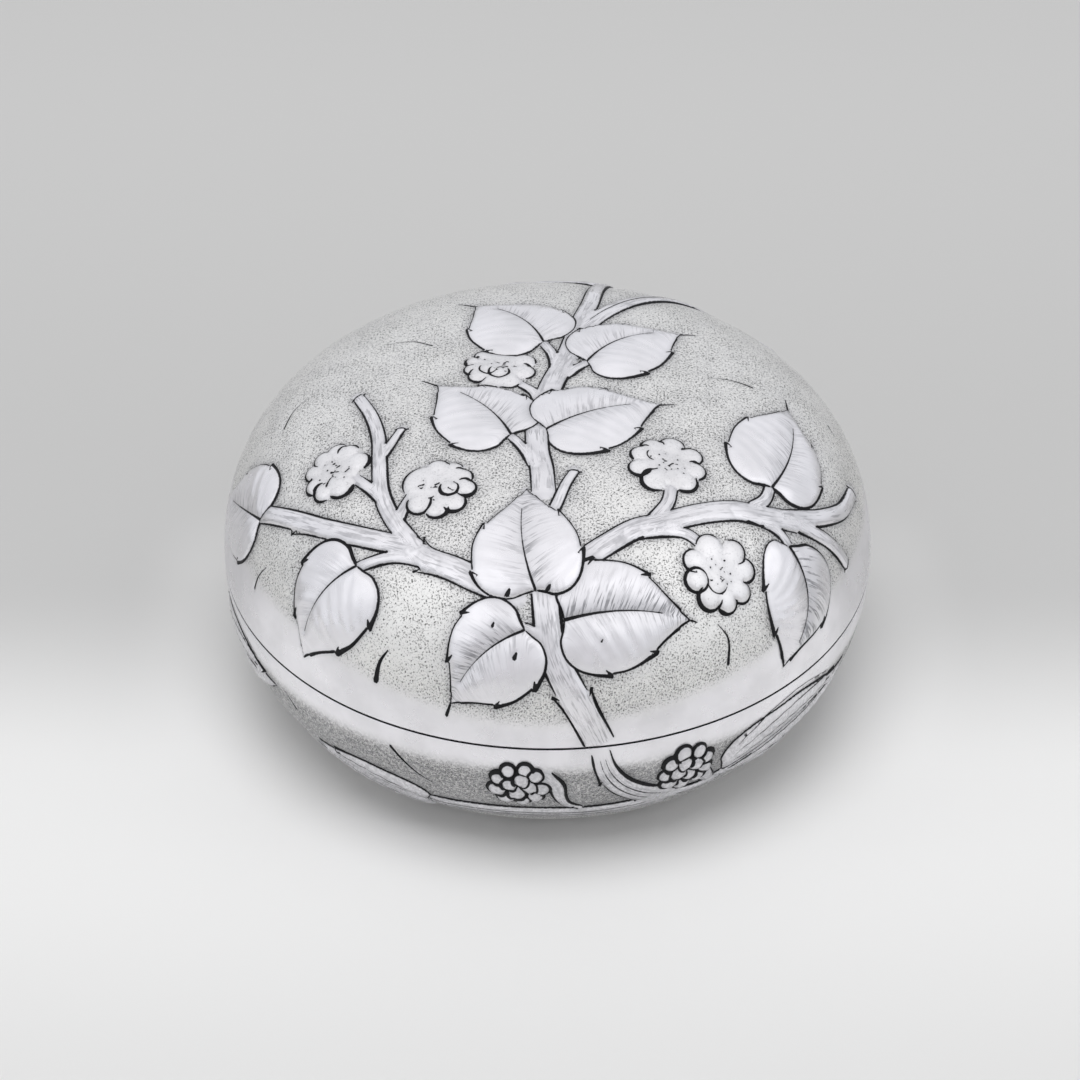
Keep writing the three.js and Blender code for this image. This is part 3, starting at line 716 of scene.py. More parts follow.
LID_BRANCHES = [
    dict(path=[(0.15, -0.985), (0.084, -0.895), (0.051, -0.846), (0.02, -0.791), (0.003, -0.737),
               (-0.01, -0.62)], widths=(6.6, 4.6), barbs=((-1, 0.34), (1, 0.42)), line=1.5),
    dict(path=[(-0.01, -0.38), (-0.014, -0.311), (-0.023, -0.249), (-0.026, -0.17)], widths=(4.2, 4.0)),
    dict(path=[(-0.016, -0.1), (0.01, 0.007), (0.029, 0.069), (0.052, 0.152), (0.074, 0.261), (0.101, 0.374),
               (0.117, 0.476), (0.14, 0.58), (0.17, 0.665)], widths=(4.6, 2.6), barbs=((-1, 0.3),)),
    dict(path=[(0.06, 0.215), (0.1, 0.275), (0.15, 0.345), (0.225, 0.43), (0.33, 0.52), (0.42, 0.56),
               (0.525, 0.53)], widths=(4.0, 2.6), inner=(0.1,)),
    dict(path=[(-0.08, -0.64), (-0.157, -0.602), (-0.212, -0.57), (-0.272, -0.537), (-0.317, -0.492)],
         widths=(4.8, 4.2), barbs=((-1, 0.93), (1, 0.8))),
    dict(path=[(-0.3, -0.505), (-0.394, -0.463), (-0.499, -0.403), (-0.57, -0.352), (-0.7, -0.25)],
         widths=(3.8, 3.4), barbs=((1, 0.7), (1, 0.45))),
    dict(path=[(-0.29, -0.515), (-0.343, -0.428), (-0.37, -0.348), (-0.376, -0.256), (-0.38, -0.173),
               (-0.399, -0.089), (-0.433, -0.005)], widths=(3.4, 2.2), cut_end=True),
    dict(path=[(-0.375, -0.243), (-0.352, -0.2), (-0.328, -0.15)], widths=(2.2, 1.5), cut_end=True),
    dict(path=[(-0.36, -0.38), (-0.39, -0.335), (-0.43, -0.288)], widths=(2.3, 2.0)),
    dict(path=[(-0.335, -0.45), (-0.324, -0.41), (-0.3, -0.365)], widths=(2.3, 2.0)),
    dict(path=[(-0.26, -0.55), (-0.323, -0.524), (-0.37, -0.516), (-0.436, -0.518)], widths=(2.6, 2.0)),
    dict(path=[(0.04, -0.59), (0.132, -0.519), (0.192, -0.476), (0.252, -0.452), (0.338, -0.411),
               (0.42, -0.381), (0.482, -0.373), (0.576, -0.349)], widths=(4.0, 4.2)),
    dict(path=[(0.54, -0.355), (0.6, -0.325), (0.66, -0.287), (0.728, -0.217), (0.769, -0.122)],
         widths=(3.4, 3.0), cut_end=True),
    dict(path=[(0.53, -0.358), (0.613, -0.348), (0.696, -0.337), (0.777, -0.337)], widths=(3.0, 2.8),
         cut_end=True),
    dict(path=[(0.42, -0.386), (0.496, -0.388), (0.537, -0.397), (0.566, -0.415)], widths=(2.2, 1.9)),
    dict(path=[(0.46, -0.36), (0.492, -0.325), (0.506, -0.28)], widths=(2.4, 2.1)),
    dict(path=[(0.215, -0.47), (0.261, -0.401), (0.272, -0.35)], widths=(2.6, 2.3)),
    dict(path=[(0.18, -0.49), (0.259, -0.472), (0.305, -0.47), (0.345, -0.49)], widths=(2.6, 2.1)),
    dict(path=[(0.01, 0.02), (0.045, 0.045), (0.063, 0.068), (0.094, 0.1)], widths=(2.2, 1.8)),
    dict(path=[(0.004, -0.01), (0.017, 0.06), (0.013, 0.122), (-0.008, 0.174)], widths=(2.4, 1.9)),
    dict(path=[(-0.03, -0.3), (-0.052, -0.245), (-0.082, -0.195)], widths=(2.2, 1.8)),
    dict(path=[(-0.015, -0.09), (-0.03, -0.03), (-0.065, 0.01)], widths=(2.3, 1.8)),
    dict(path=[(0.0, -0.46), (0.019, -0.418), (0.038, -0.362), (0.058, -0.318)], widths=(2.2, 1.7),
         cut_end=True),
    dict(path=[(0.0, -0.755), (-0.026, -0.728), (-0.053, -0.714)], widths=(2.0, 1.8)),
    dict(path=[(0.13, 0.55), (0.07, 0.62), (-0.04, 0.645), (-0.15, 0.64), (-0.3, 0.62), (-0.425, 0.602)],
         widths=(3.2, 2.4), barbs=((1, 0.4),)),
    dict(path=[(-0.2, 0.63), (-0.225, 0.65), (-0.235, 0.67)], widths=(2.2, 1.9)),
    dict(path=[(0.35, 0.53), (0.41, 0.58), (0.455, 0.65)], widths=(2.4, 2.0)),
    dict(path=[(0.52, 0.52), (0.62, 0.46), (0.7, 0.45)], widths=(2.6, 2.2), cut_end=True),
]

# The loose strokes: each one's weight, and its path from its thin end
LID_COMMAS = [
    (1.0, [(-0.376, 0.213), (-0.318, 0.209), (-0.268, 0.179)]),
    (1.0, [(-0.56, 0.063), (-0.599, 0.037), (-0.624, -0.017)]),
    (1.0, [(-0.71, -0.394), (-0.75, -0.394), (-0.782, -0.406)]),
    (1.7, [(-0.394, -0.72), (-0.424, -0.74), (-0.451, -0.777)]),
    (1.0, [(0.368, 0.057), (0.423, 0.062), (0.473, 0.053)]),
    (1.0, [(0.706, 0.035), (0.685, 0.059)]),
    (1.0, [(0.405, -0.658), (0.442, -0.683), (0.46, -0.736)]),
    (1.0, [(0.18, 0.93), (0.12, 0.89), (0.08, 0.83)]),
    (1.0, [(-0.72, 0.46), (-0.66, 0.5), (-0.62, 0.56)]),
    (1.0, [(-0.3, 0.86), (-0.34, 0.8), (-0.34, 0.76)]),
]

# The bowl's wreath: degrees round from +X and shares of the arc, repeated round the bowl
BOWL_REPEATS = 3
BOWL_LEAVES = [
    dict(base=(-113.5, 0.725), tip=(-137, 0.8), halves=(7.0, 6.5), bow=2.0, notches=((0.84,), (0.5, 0.8)),
         veins=(-0.4, 0.4), line=(0.8, 0.8), seed=21),
    dict(base=(-57.3, 0.81), tip=(-25, 0.91), halves=(2.6, 10.8), bow=-4.0, notches=((0.5, 0.74), (0.9,)),
         line=(0.8, 0.75), veins=(-0.75, -0.5, -0.25, 0.4), seed=22),
]
BOWL_BERRIES = [dict(centre=(-95, 0.88), seed=11), dict(centre=(-65.5, 0.875), seed=12)]
BOWL_BRANCHES = [
    dict(path=[(-81.3, 0.985), (-80.3, 0.93), (-77.8, 0.87), (-74, 0.82), (-69, 0.78)], widths=(4.2, 6.0),
         barbs=((1, 0.36),), line=1.5, rising=6.0, inner=(-0.3, 0.25)),
    dict(path=[(-71, 0.78), (-62, 0.765), (-54, 0.79)], widths=(3.6, 2.6), inner=(0.2,)),
    dict(path=[(-68, 0.755), (-80, 0.742), (-92, 0.745), (-104, 0.74), (-118, 0.73)], widths=(5.5, 4.6),
         inner=(-0.6, -0.15, 0.35)),
    dict(path=[(-84, 0.775), (-86.8, 0.8), (-88, 0.84), (-88.6, 0.88), (-90.5, 0.91)], widths=(1.0, 4.2),
         line=1.5),
    dict(path=[(-58, 0.76), (-59.5, 0.79), (-61.5, 0.825)], widths=(1.4, 3.8), line=1.2),
    dict(path=[(-130, 0.72), (-146, 0.7), (-160, 0.73), (-174, 0.79)], widths=(2.6, 2.2)),
]
BOWL_COMMAS = [
    [(-142, 0.92), (-140, 0.88)],
    [(-110.5, 0.84), (-113.5, 0.87), (-117.5, 0.935)],
    [(-152, 0.86), (-157, 0.82), (-163, 0.82)],
]

# Each stretch of the wreath has its own random draws
FIRST_BRANCH_SEED, BRANCH_SEED_STEP, SEED_STEP = 50, 10, 5
FULL_LINE_HALF = 0.4


def layer_of(form):
    return form.layer


def lid_ornament():
    """The lid's forms, lowest first, and its loose strokes."""
    forms = [Branch(LID_REACH, seed=i, **spec) for i, spec in enumerate(LID_BRANCHES)]
    forms += [Berry(LID_REACH, **spec) for spec in LID_BERRIES]
    forms += [Leaf(LID_REACH, **spec) for spec in LID_LEAVES]
    return sorted(forms, key=layer_of), [comma(LID_REACH, path, weight) for weight, path in LID_COMMAS]


def bowl_ornament():
    """The bowl's forms, lowest first, and its loose strokes."""
    forms, commas = [], []
    for repeat in range(BOWL_REPEATS):
        turned = repeat * 360 / BOWL_REPEATS

        def placed(points):
            return [share * bearing_at(degrees + turned) for degrees, share in points]

        for i, spec in enumerate(BOWL_BRANCHES):
            seed = FIRST_BRANCH_SEED + BRANCH_SEED_STEP * repeat + i
            forms.append(Branch(BOWL_REACH, **dict(spec, path=placed(spec["path"]), seed=seed)))
        for spec in BOWL_BERRIES:
            centre = placed([spec["centre"]])[0]
            seed = spec["seed"] + SEED_STEP * repeat
            full = dict(full=True, turned=turned, line_half=FULL_LINE_HALF)
            forms.append(Berry(BOWL_REACH, centre, seed=seed, **full))
        for spec in BOWL_LEAVES:
            base, tip = placed([spec["base"], spec["tip"]])
            seed = spec["seed"] + SEED_STEP * repeat
            forms.append(Leaf(BOWL_REACH, **dict(spec, base=base, tip=tip, seed=seed)))
        commas += [comma(BOWL_REACH, placed(path)) for path in BOWL_COMMAS]
    return sorted(forms, key=layer_of), commas


# From forms to places of a mesh

# How deep in another form a stroke is cut off, and how deep where branches run together
COVER_DEPTH, MERGE_DEPTH = 0.02, 0.25
NEAR_MARGIN = 0.5

# The rows beside a stroke, as shares of its half width, and how far apart places are kept
ROW_SHARES = (0, 0.6, -0.6, 1.2, -1.2)
ROW_GAP, BESIDE_ROW_GAP, REST_GAP, SEAM_GAP, INSIDE_SEAM_GAP = 0.13, 0.34, 0.32, 0.4, 0.9
FIELD_MARGIN = 0.3


def kept_runs(keep):
    """Index ranges of the stretches where keep is true."""
    edges = np.flatnonzero(np.diff(np.concatenate([[0], keep.astype(int), [0]])))
    return list(zip(edges[::2], edges[1::2]))


def visible_strokes(forms):
    """The forms' strokes, cut where another form lies over them or where branches run together."""
    result = []
    for place, form in enumerate(forms):
        merges = isinstance(form, Branch)
        for stroke in form.strokes():
            keep = np.ones(len(stroke.line), bool)
            for index, other in enumerate(forms):
                beside = other.layer == form.layer and other is not form
                over = other.layer > form.layer or beside and (merges or index > place)
                near = (stroke.line > other.low - NEAR_MARGIN).all(1)
                near &= (stroke.line < other.high + NEAR_MARGIN).all(1)
                if over and near.any():
                    depth = np.full(len(stroke.line), -1.0)
                    depth[near] = other.signed(stroke.line[near])
                    keep &= depth < (MERGE_DEPTH if merges and beside else COVER_DEPTH)
            for start, end in kept_runs(keep):
                if end - start > 1:
                    result.append(Stroke(stroke.line[start:end], stroke.half_width[start:end]))
    return result


def hex_grid(low, high, step):
    x = np.arange(low[0], high[0], step)
    y = np.arange(low[1], high[1], step * math.sqrt(3) / 2)
    grid_x, grid_y = np.meshgrid(x, y)
    grid_x[1::2] += step / 2
    return np.column_stack([grid_x.ravel(), grid_y.ravel()])


def square_grid(reach, step):
    return hex_grid((-reach, -reach), (reach, reach), step)


def tree_of(points):
    tree = kdtree.KDTree(len(points))
    for i, (x, y) in enumerate(points.tolist()):
        tree.insert((x, y, 0), i)
    tree.balance()
    return tree


def nearest(tree, points):
    found = [tree.find((x, y, 0)) for x, y in points.tolist()]
    return np.array([f[1] for f in found]), np.array([f[2] for f in found])


def thinned(points, gap):
    """The points less those that come within gap of an earlier one, found by sorting them into cells."""
    cells = {}
    keep = []
    around = [(dx, dy) for dx in (-1, 0, 1) for dy in (-1, 0, 1)]
    for i, (x, y) in enumerate(points.tolist()):
        cx, cy = int(x // gap), int(y // gap)
        others = [other for dx, dy in around for other in cells.get((cx + dx, cy + dy), ())]
        if all((ox - x) ** 2 + (oy - y) ** 2 >= gap * gap for ox, oy in others):
            cells.setdefault((cx, cy), []).append((x, y))
            keep.append(i)
    return points[keep]


def chart_points(forms, strokes, edge_reach, plain_inside):
    """Places for an outside's mesh: rows along each stroke, finer stretches on the forms, and the rest."""
    rows = []
    for stroke in strokes:
        line, half = stroke.evened(STROKE_STEP) if len(stroke.line) > 2 else (stroke.line, stroke.half_width)
        left = side_of(line)
        rows += [line + share * half[:, None] * left for share in ROW_SHARES]
    rows = thinned(np.vstack(rows), ROW_GAP)
    fields = []
    for form in forms:
        step = FINE_STEP if isinstance(form, Berry) else LEAF_STEP
        grid = hex_grid(form.low - FIELD_MARGIN, form.high + FIELD_MARGIN, step)
        fields.append(grid[form.signed(grid) > -FIELD_MARGIN])
    ground = square_grid(edge_reach, GROUND_STEP)
    plain = square_grid(edge_reach, PLAIN_STEP)
    rest = np.vstack([*fields, ground[away(ground) > plain_inside], plain[away(plain) <= plain_inside]])
    rest = rest[nearest(tree_of(rows), rest)[1] > BESIDE_ROW_GAP]
    inner = np.vstack([rows, thinned(rest, REST_GAP)])
    return np.vstack([edge_reach * all_round(), inner[away(inner) < edge_reach - SEAM_GAP]])


# How far round a form its relief is worked out, how the ground and lower forms sink beside a form, and how
# far the painted shade on the ground beside a form reaches
FORM_MARGIN, FAR_OUT = 4.0, 50.0
FOOT_SHARE, FOOT_REACH, FOOT_SHADE_REACH = 0.55, 1.3, 0.9
BERRY_MATTING_SHARE = 0.35
GRAIN_OFFSET = 1.7


def relief(forms, points):
    """Height, ground share, painted shade with oxide in the hollows, grain and its strength at each point,
    without the strokes' grooves.
    """
    count = len(points)
    height = np.zeros(count)
    outside = np.full(count, FAR_OUT)
    oxide_and_painted_shade = np.zeros(count)
    grain = np.zeros((count, 3))
    strength = np.zeros(count)
    matting = np.zeros(count)
    for index, form in enumerate(forms):
        near = (points > form.low - FORM_MARGIN).all(1) & (points < form.high + FORM_MARGIN).all(1)
        near = np.flatnonzero(near)
        if not len(near):
            continue
        depth = form.signed(points[near])
        outside[near] = np.minimum(outside[near], np.maximum(-depth, 0))
        beside = near[depth <= 0]
        gap = -depth[depth <= 0]
        height[beside] *= 1 - FOOT_SHARE * np.exp(-((gap / FOOT_REACH) ** 2)) * (form.layer > BRANCH_LAYER)
        # Painted shade, with some oxide, on the ground beside each form, darkest at its foot
        oxide_and_painted_shade[beside] = np.maximum(oxide_and_painted_shade[beside], np.exp(-gap / FOOT_SHADE_REACH))
        inner = near[depth > 0]
        outside[inner] = 0
        if not len(inner):
            continue
        body = form.height(points[inner], depth[depth > 0])
        if form.layer == BRANCH_LAYER:
            higher = body > height[inner]
            inner, body = inner[higher], body[higher]
        height[inner] = body
        along, across, shown = form.grain(points[inner])
        grain[inner] = np.column_stack([along, across, np.full(len(inner), index * GRAIN_OFFSET)])
        strength[inner] = shown
        oxide_and_painted_shade[inner] = form.oxide_and_painted_shade(points[inner])
        matting[inner] = BERRY_MATTING_SHARE if isinstance(form, Berry) and not form.full else 0
    height -= np.where(outside > 0, GROUND_DIP * np.exp(-((outside / GROUND_DIP_REACH) ** 2)), 0)
    ground = np.maximum(smooth_step(outside, 0.0, 0.2), matting)
    return height, ground, oxide_and_painted_shade, grain, strength


def groove(strokes, points):
    """How far inside a stroke each point lies, negative outside, and that stroke's half width there."""
    lines, halves = zip(*[stroke.evened(SAMPLE_STEP) for stroke in strokes])
    halves = np.concatenate(halves)
    index, gap = nearest(tree_of(np.vstack(lines)), points)
    return halves[index] - gap, halves[index]


def matting_shown(points, reach, band_shares):
    """The matting's fade into the plain band by the seam, which is narrower at the front of the lid."""
    from_pole = away(points)
    front = np.maximum(-points[:, 1] / np.maximum(from_pole, 1e-6), 0) ** 4
    start, end, front_shift = band_shares
    return 1 - smooth_step(from_pole / reach - front_shift * front, start, end)


def ground_brightening(points, reach, places):
    """How far the ground is brightened at each point, from 0 to 1."""
    brightening = np.zeros(len(points))
    for x, y, size in places:
        gap = away(points / reach, np.array([x, y]))
        brightening = np.maximum(brightening, 1 - smooth_step(gap, 0.4 * size, size))
    return brightening


# From places to a mesh

# Where the relief ends before the seam outside and inside, and where the painted shade on the bowl deepens,
# as shares of the arc
RELIEF_END_SHARES, HOLLOW_END_SHARES, PAINTED_SHADE_SHARES = (0.985, 0.995), (0.86, 0.93), (0.62, 0.76)
USUAL_GROOVE_HALF, GROOVE_SHARES = 0.25, (0.5, 1.4)

# The line attribute is a distance inside a line; the lip's rings carry the dark line of the seam, painted
# shade of the gap between lid and bowl
LIP_LINES, INSIDE_LINE = (-0.3, 0.0, 0.2, 0.3), -2.0

# The two discs of the map, and how much wider each ring of the lip is
MAP_OUTSIDE, MAP_INSIDE = (0.25, 0.5), (0.755, 0.5)
MAP_RADIUS, MAP_LIP_STEP = 0.24, 0.002


def triangles(points):
    corners = [Vector(p) for p in points.tolist()]
    made = delaunay_2d_cdt(corners, [], [], 0, 1e-7)
    if len(made[0]) != len(points):
        raise ValueError("two places of a sheet's mesh are the same")
    faces = np.array(made[2])
    a, b, c = (points[faces[:, i]] for i in range(3))
    area = (b[:, 0] - a[:, 0]) * (c[:, 1] - a[:, 1]) - (b[:, 1] - a[:, 1]) * (c[:, 0] - a[:, 0])
    faces[area < 0] = faces[area < 0][:, ::-1]
    return faces


def band_faces(first, second):
    """Quads between two rings that start at the given indices."""
    a = np.arange(RING_STEPS)
    b = (a + 1) % RING_STEPS
    return np.column_stack([first + a, second + a, second + b, first + b])


def ring_at(radius, level):
    return np.column_stack([radius * all_round(), np.full(RING_STEPS, level)])


def add_object(name, data):
    made = bpy.data.objects.new(name, data)
    bpy.context.scene.collection.objects.link(made)
    return made


def mesh_object(name, vertices, faces):
    mesh = bpy.data.meshes.new(name)
    mesh.from_pydata((vertices * MM).tolist(), [], faces)
    mesh.update()
    mesh.shade_smooth()
    return add_object(name, mesh)


def add_values(mesh, name, values):
    """A value at each vertex, which is 0 at those that no value is given for."""
    rest = np.zeros((len(mesh.vertices) - len(values), *values.shape[1:]))
    kind, key = ("FLOAT", "value") if values.ndim == 1 else ("FLOAT_VECTOR", "vector")
    attribute = mesh.attributes.new(name, kind, "POINT")
    attribute.data.foreach_set(key, np.concatenate([values, rest]).astype(np.float32).ravel())


def inside_places(forms, inside, outside_reach):
    """Places on the chart of a sheet's inside, and in space, where they follow the relief."""
    inner = square_grid(inside.reach, INSIDE_STEP)
    inner = inner[away(inner) < inside.reach - INSIDE_SEAM_GAP]
    inner = np.vstack([inside.reach * all_round(), inner])
    hollow = relief(forms, inner * outside_reach / inside.reach)[0]
    hollow *= 1 - smooth_step(away(inner) / inside.reach, *HOLLOW_END_SHARES)
    return inner, inside.place(inner, HOLLOW_SHARE * np.maximum(hollow, 0))


def lip_rings(outside):
    rings = []
    for step in range(1, LIP_STEPS + 1):
        angle = step / LIP_STEPS * math.pi / 2
        radius = SEAM_RADIUS - LIP_ROUND * (1 - math.cos(angle))
        rings.append(ring_at(radius, outside.seam_level + outside.up * LIP_ROUND * (1 - math.sin(angle))))
    return rings


def build_sheet(name, sheet, ornament, band_shares, painted_shade=0.0, plain_inside=0, base_radius=0, brighter_places=()):
    """One raised sheet: a relief outside, a rounded lip at the seam, and an inside that follows the relief.
    The mesh is coarser within plain_inside of the pole, and a flat base of base_radius stays unmatted."""
    outside, inside = sheet
    forms, commas = ornament
    strokes = visible_strokes(forms) + commas
    points = chart_points(forms, strokes, outside.reach - LIP_ROUND, plain_inside)
    height, ground, oxide_and_painted_shade, grain, strength = relief(forms, points)
    depth, half = groove(strokes, points)
    cut = np.clip(1 + depth / np.maximum(half, 0.05), 0, 2) / 2
    height -= GROOVE_DEPTH * np.clip(half / USUAL_GROOVE_HALF, *GROOVE_SHARES) * cut**1.5 * (depth > -half)
    share = away(points) / outside.reach
    height *= 1 - smooth_step(share, *RELIEF_END_SHARES)
    top = outside.place(points, height)
    inner, under = inside_places(forms, inside, outside.reach)

    starts = [0, *[len(top) + RING_STEPS * i for i in range(LIP_STEPS + 1)]]
    parts = [triangles(points)]
    parts += [band_faces(first, second) for first, second in zip(starts[:-1], starts[1:])]
    parts.append(triangles(inner)[:, ::-1] + starts[-1])
    faces = [face for part in parts for face in part[:, :: outside.up].tolist()]
    made = mesh_object(name, np.vstack([top, *lip_rings(outside), under]), faces)

    fade = matting_shown(points, outside.reach, band_shares)
    on_wall = smooth_step(away(points), base_radius - 1.0, base_radius + 0.5) if base_radius else 1.0
    shade_deepening = 0.35 + 0.65 * smooth_step(share, *PAINTED_SHADE_SHARES)
    values = {
        "chart": np.column_stack([points, np.zeros(len(points))]),
        # The lip's rings: painted shade of the seam's gap
        "line": np.concatenate([depth, np.repeat(LIP_LINES, RING_STEPS), np.full(len(under), INSIDE_LINE)]),
        # Painted shade on the bowl's wall, for the shadowed floor that it reflects; strongest just below the
        # plain band, less toward the base and on the forms
        "painted_shade": painted_shade * shade_deepening * fade * on_wall * (0.55 + 0.45 * ground),
        "ground": ground * fade * on_wall,
        "ground_brightening": ground_brightening(points, outside.reach, brighter_places),
        # Painted shade with oxide in the hollows: beside forms, by midribs and between drupelets
        "oxide_and_painted_shade": oxide_and_painted_shade * np.where(ground > 0.5, fade, 1),
        "grain": grain,
        "hatch": strength * (1 - ground),
    }
    for key, value in values.items():
        add_values(made.data, key, value)
    add_map(made, points, inner, outside.reach)
    print(name, "faces:", len(faces), "outside places:", len(points), "strokes:", len(strokes))
    return made


def add_map(made, points, inner, reach):
    """Two discs side by side on the map: the outside on the left and the inside on the right."""
    scale = MAP_RADIUS / reach
    lip = [MAP_OUTSIDE + (MAP_RADIUS + MAP_LIP_STEP * (i + 1)) * all_round() for i in range(LIP_STEPS)]
    uv = np.vstack([MAP_OUTSIDE + points * scale, *lip, MAP_INSIDE + inner * scale])
    layer = made.data.uv_layers.new(name="OFBake")
    loops = np.zeros(len(made.data.loops), int)
    made.data.loops.foreach_get("vertex_index", loops)
    layer.data.foreach_set("uv", uv[loops].ravel())


# Materials


class Nodes:
    """Short calls for building the node tree of a material or the world."""

    def __init__(self, owner, shader="Principled BSDF"):
        owner.use_nodes = True
        self.tree = owner.node_tree
        self.shader = self.tree.nodes[shader]

    def fill(self, node, inputs):
        """Links each input to a socket, or sets its number or colour."""
        for name, value in inputs.items():
            if isinstance(value, bpy.types.NodeSocket):
                self.tree.links.new(value, node.inputs[name])
            else:
                node.inputs[name].default_value = value

    def make(self, kind, inputs, **settings):
        """A new node, from its settings and inputs; returns its outputs."""
        node = self.tree.nodes.new("ShaderNode" + kind)
        for name, value in settings.items():
            setattr(node, name, value)
        self.fill(node, inputs)
        return node.outputs

    def math(self, operation, first, second=0.0):
        return self.make("Math", {0: first, 1: second}, operation=operation)[0]

    def times(self, first, second):
        return self.math("MULTIPLY", first, second)

    def plus(self, first, second):
        return self.math("ADD", first, second)

    def minus(self, first, second):
        return self.math("SUBTRACT", first, second)

    def ramp(self, value, low, high, start=0.0, end=1.0):
        inputs = {"Value": value, "From Min": low, "From Max": high, "To Min": start, "To Max": end}
        return self.make("MapRange", inputs, interpolation_type="SMOOTHSTEP")["Result"]

    def attribute(self, name, output="Fac"):
        return self.make("Attribute", {}, attribute_name=name)[output]

    def position(self):
        return self.make("TexCoord", {})["Object"]

    def scaled(self, vector, factors):
        return self.make("VectorMath", {0: vector, 1: factors}, operation="MULTIPLY")[0]

    def noise(self, vector, scale, detail=2.0, roughness=0.5, output="Fac"):
        inputs = {"Vector": vector, "Scale": scale, "Detail": detail, "Roughness": roughness}
        return self.make("TexNoise", inputs)[output]

    def shaken(self, vector, scale, reach):
        """The vector moved about by a noise, so that cells laid on it aren't even."""
        inputs = {0: self.noise(vector, scale, output="Color"), 1: (reach, reach, 0), 2: vector}
        return self.make("VectorMath", inputs, operation="MULTIPLY_ADD")[0]

    def cells(self, vector, scale):
        return self.make("TexVoronoi", {"Vector": vector, "Scale": scale}, voronoi_dimensions="2D")

    def part(self, vector, axis):
        return self.make("SeparateXYZ", {0: vector})[axis]

    def first_part(self, colour):
        return self.make("SeparateColor", {0: colour})[0]

    def mix(self, share, first, second):
        return self.make("Mix", {0: share, 6: first, 7: second}, data_type="RGBA")[2]

    def bump(self, height, distance, strength, normal=None):
        inputs = {"Strength": strength, "Distance": distance, "Height": height}
        if normal is not None:
            inputs["Normal"] = normal
        return self.make("Bump", inputs)["Normal"]


SILVER = (0.89, 0.88, 0.91, 1)
SILVER_WORN = (0.8, 0.792, 0.817, 1)
SILVER_GROUND = (0.91, 0.906, 0.88, 1)
SILVER_SHADE = (0.42, 0.42, 0.44, 1)
# Dark silver for the hatching, and for the painted shade on the bowl's wall
SILVER_HATCH_AND_SHADE = (0.25, 0.25, 0.265, 1)
SILVER_TARNISHED = (0.7, 0.68, 0.67, 1)
OXIDE = (0.03, 0.03, 0.032, 1)
DOT_TONE = (0.09, 0.09, 0.088, 1)

# Scales of the patterns on the chart, to a millimetre
PATCH_SCALE, SPECK_SCALE, PIT_SCALE, PIT_SHAKE_SCALE, EDGE_SCALE = 0.14, 2.8, 1.7, 2.2, 0.9
MOTTLE_SCALE, DUSK_SCALE, SHADE_PATCH_SCALE, HATCH_PATCH_SCALE = 1.5, 0.12, 1.2, 0.35
STREAK_SCALES = (0.22, 2.1, 1.0)

# Scales of the patterns on the object, to a metre, and the bumps' distances in metres
WOBBLE_SCALE, CLOUD_SCALE, GLOSS_SCALE, PLANISH_SCALE = 2200, 130, 300, 110
PLANISH_BUMP, HATCH_BUMP, PUNCH_BUMP, TURNING_BUMP = 0.0006, 0.0001, 0.00012, 0.00008


def matting(n, chart, ground, painted_shade, oxide_and_painted_shade, brightening):
    """Fine specks all over and small pits here and there, thinned out toward the plain band."""
    patches = n.noise(chart, PATCH_SCALE, 3)
    denser = n.plus(n.times(painted_shade, 0.03), n.times(oxide_and_painted_shade, 0.035))
    specks = n.plus(n.noise(chart, SPECK_SCALE, 3, 0.75), denser)
    threshold = n.plus(n.ramp(patches, 0.3, 0.7, 0.54, 0.5), n.times(brightening, 0.025))
    specks = n.ramp(specks, threshold, n.plus(threshold, 0.11), 0, 0.8)
    pits = n.cells(n.shaken(chart, PIT_SHAKE_SCALE, 0.35), PIT_SCALE)
    pit_weight = n.ramp(n.first_part(pits["Color"]), n.ramp(patches, 0.3, 0.7, 0.75, 0.4), 1.0)
    pits = n.times(n.ramp(pits["Distance"], 0.16, 0.32, 0.9, 0), pit_weight)
    edge = n.ramp(n.plus(ground, n.times(n.noise(chart, EDGE_SCALE, 2), 0.5)), 0.45, 1.1)
    return n.times(n.math("MAXIMUM", specks, pits), edge)


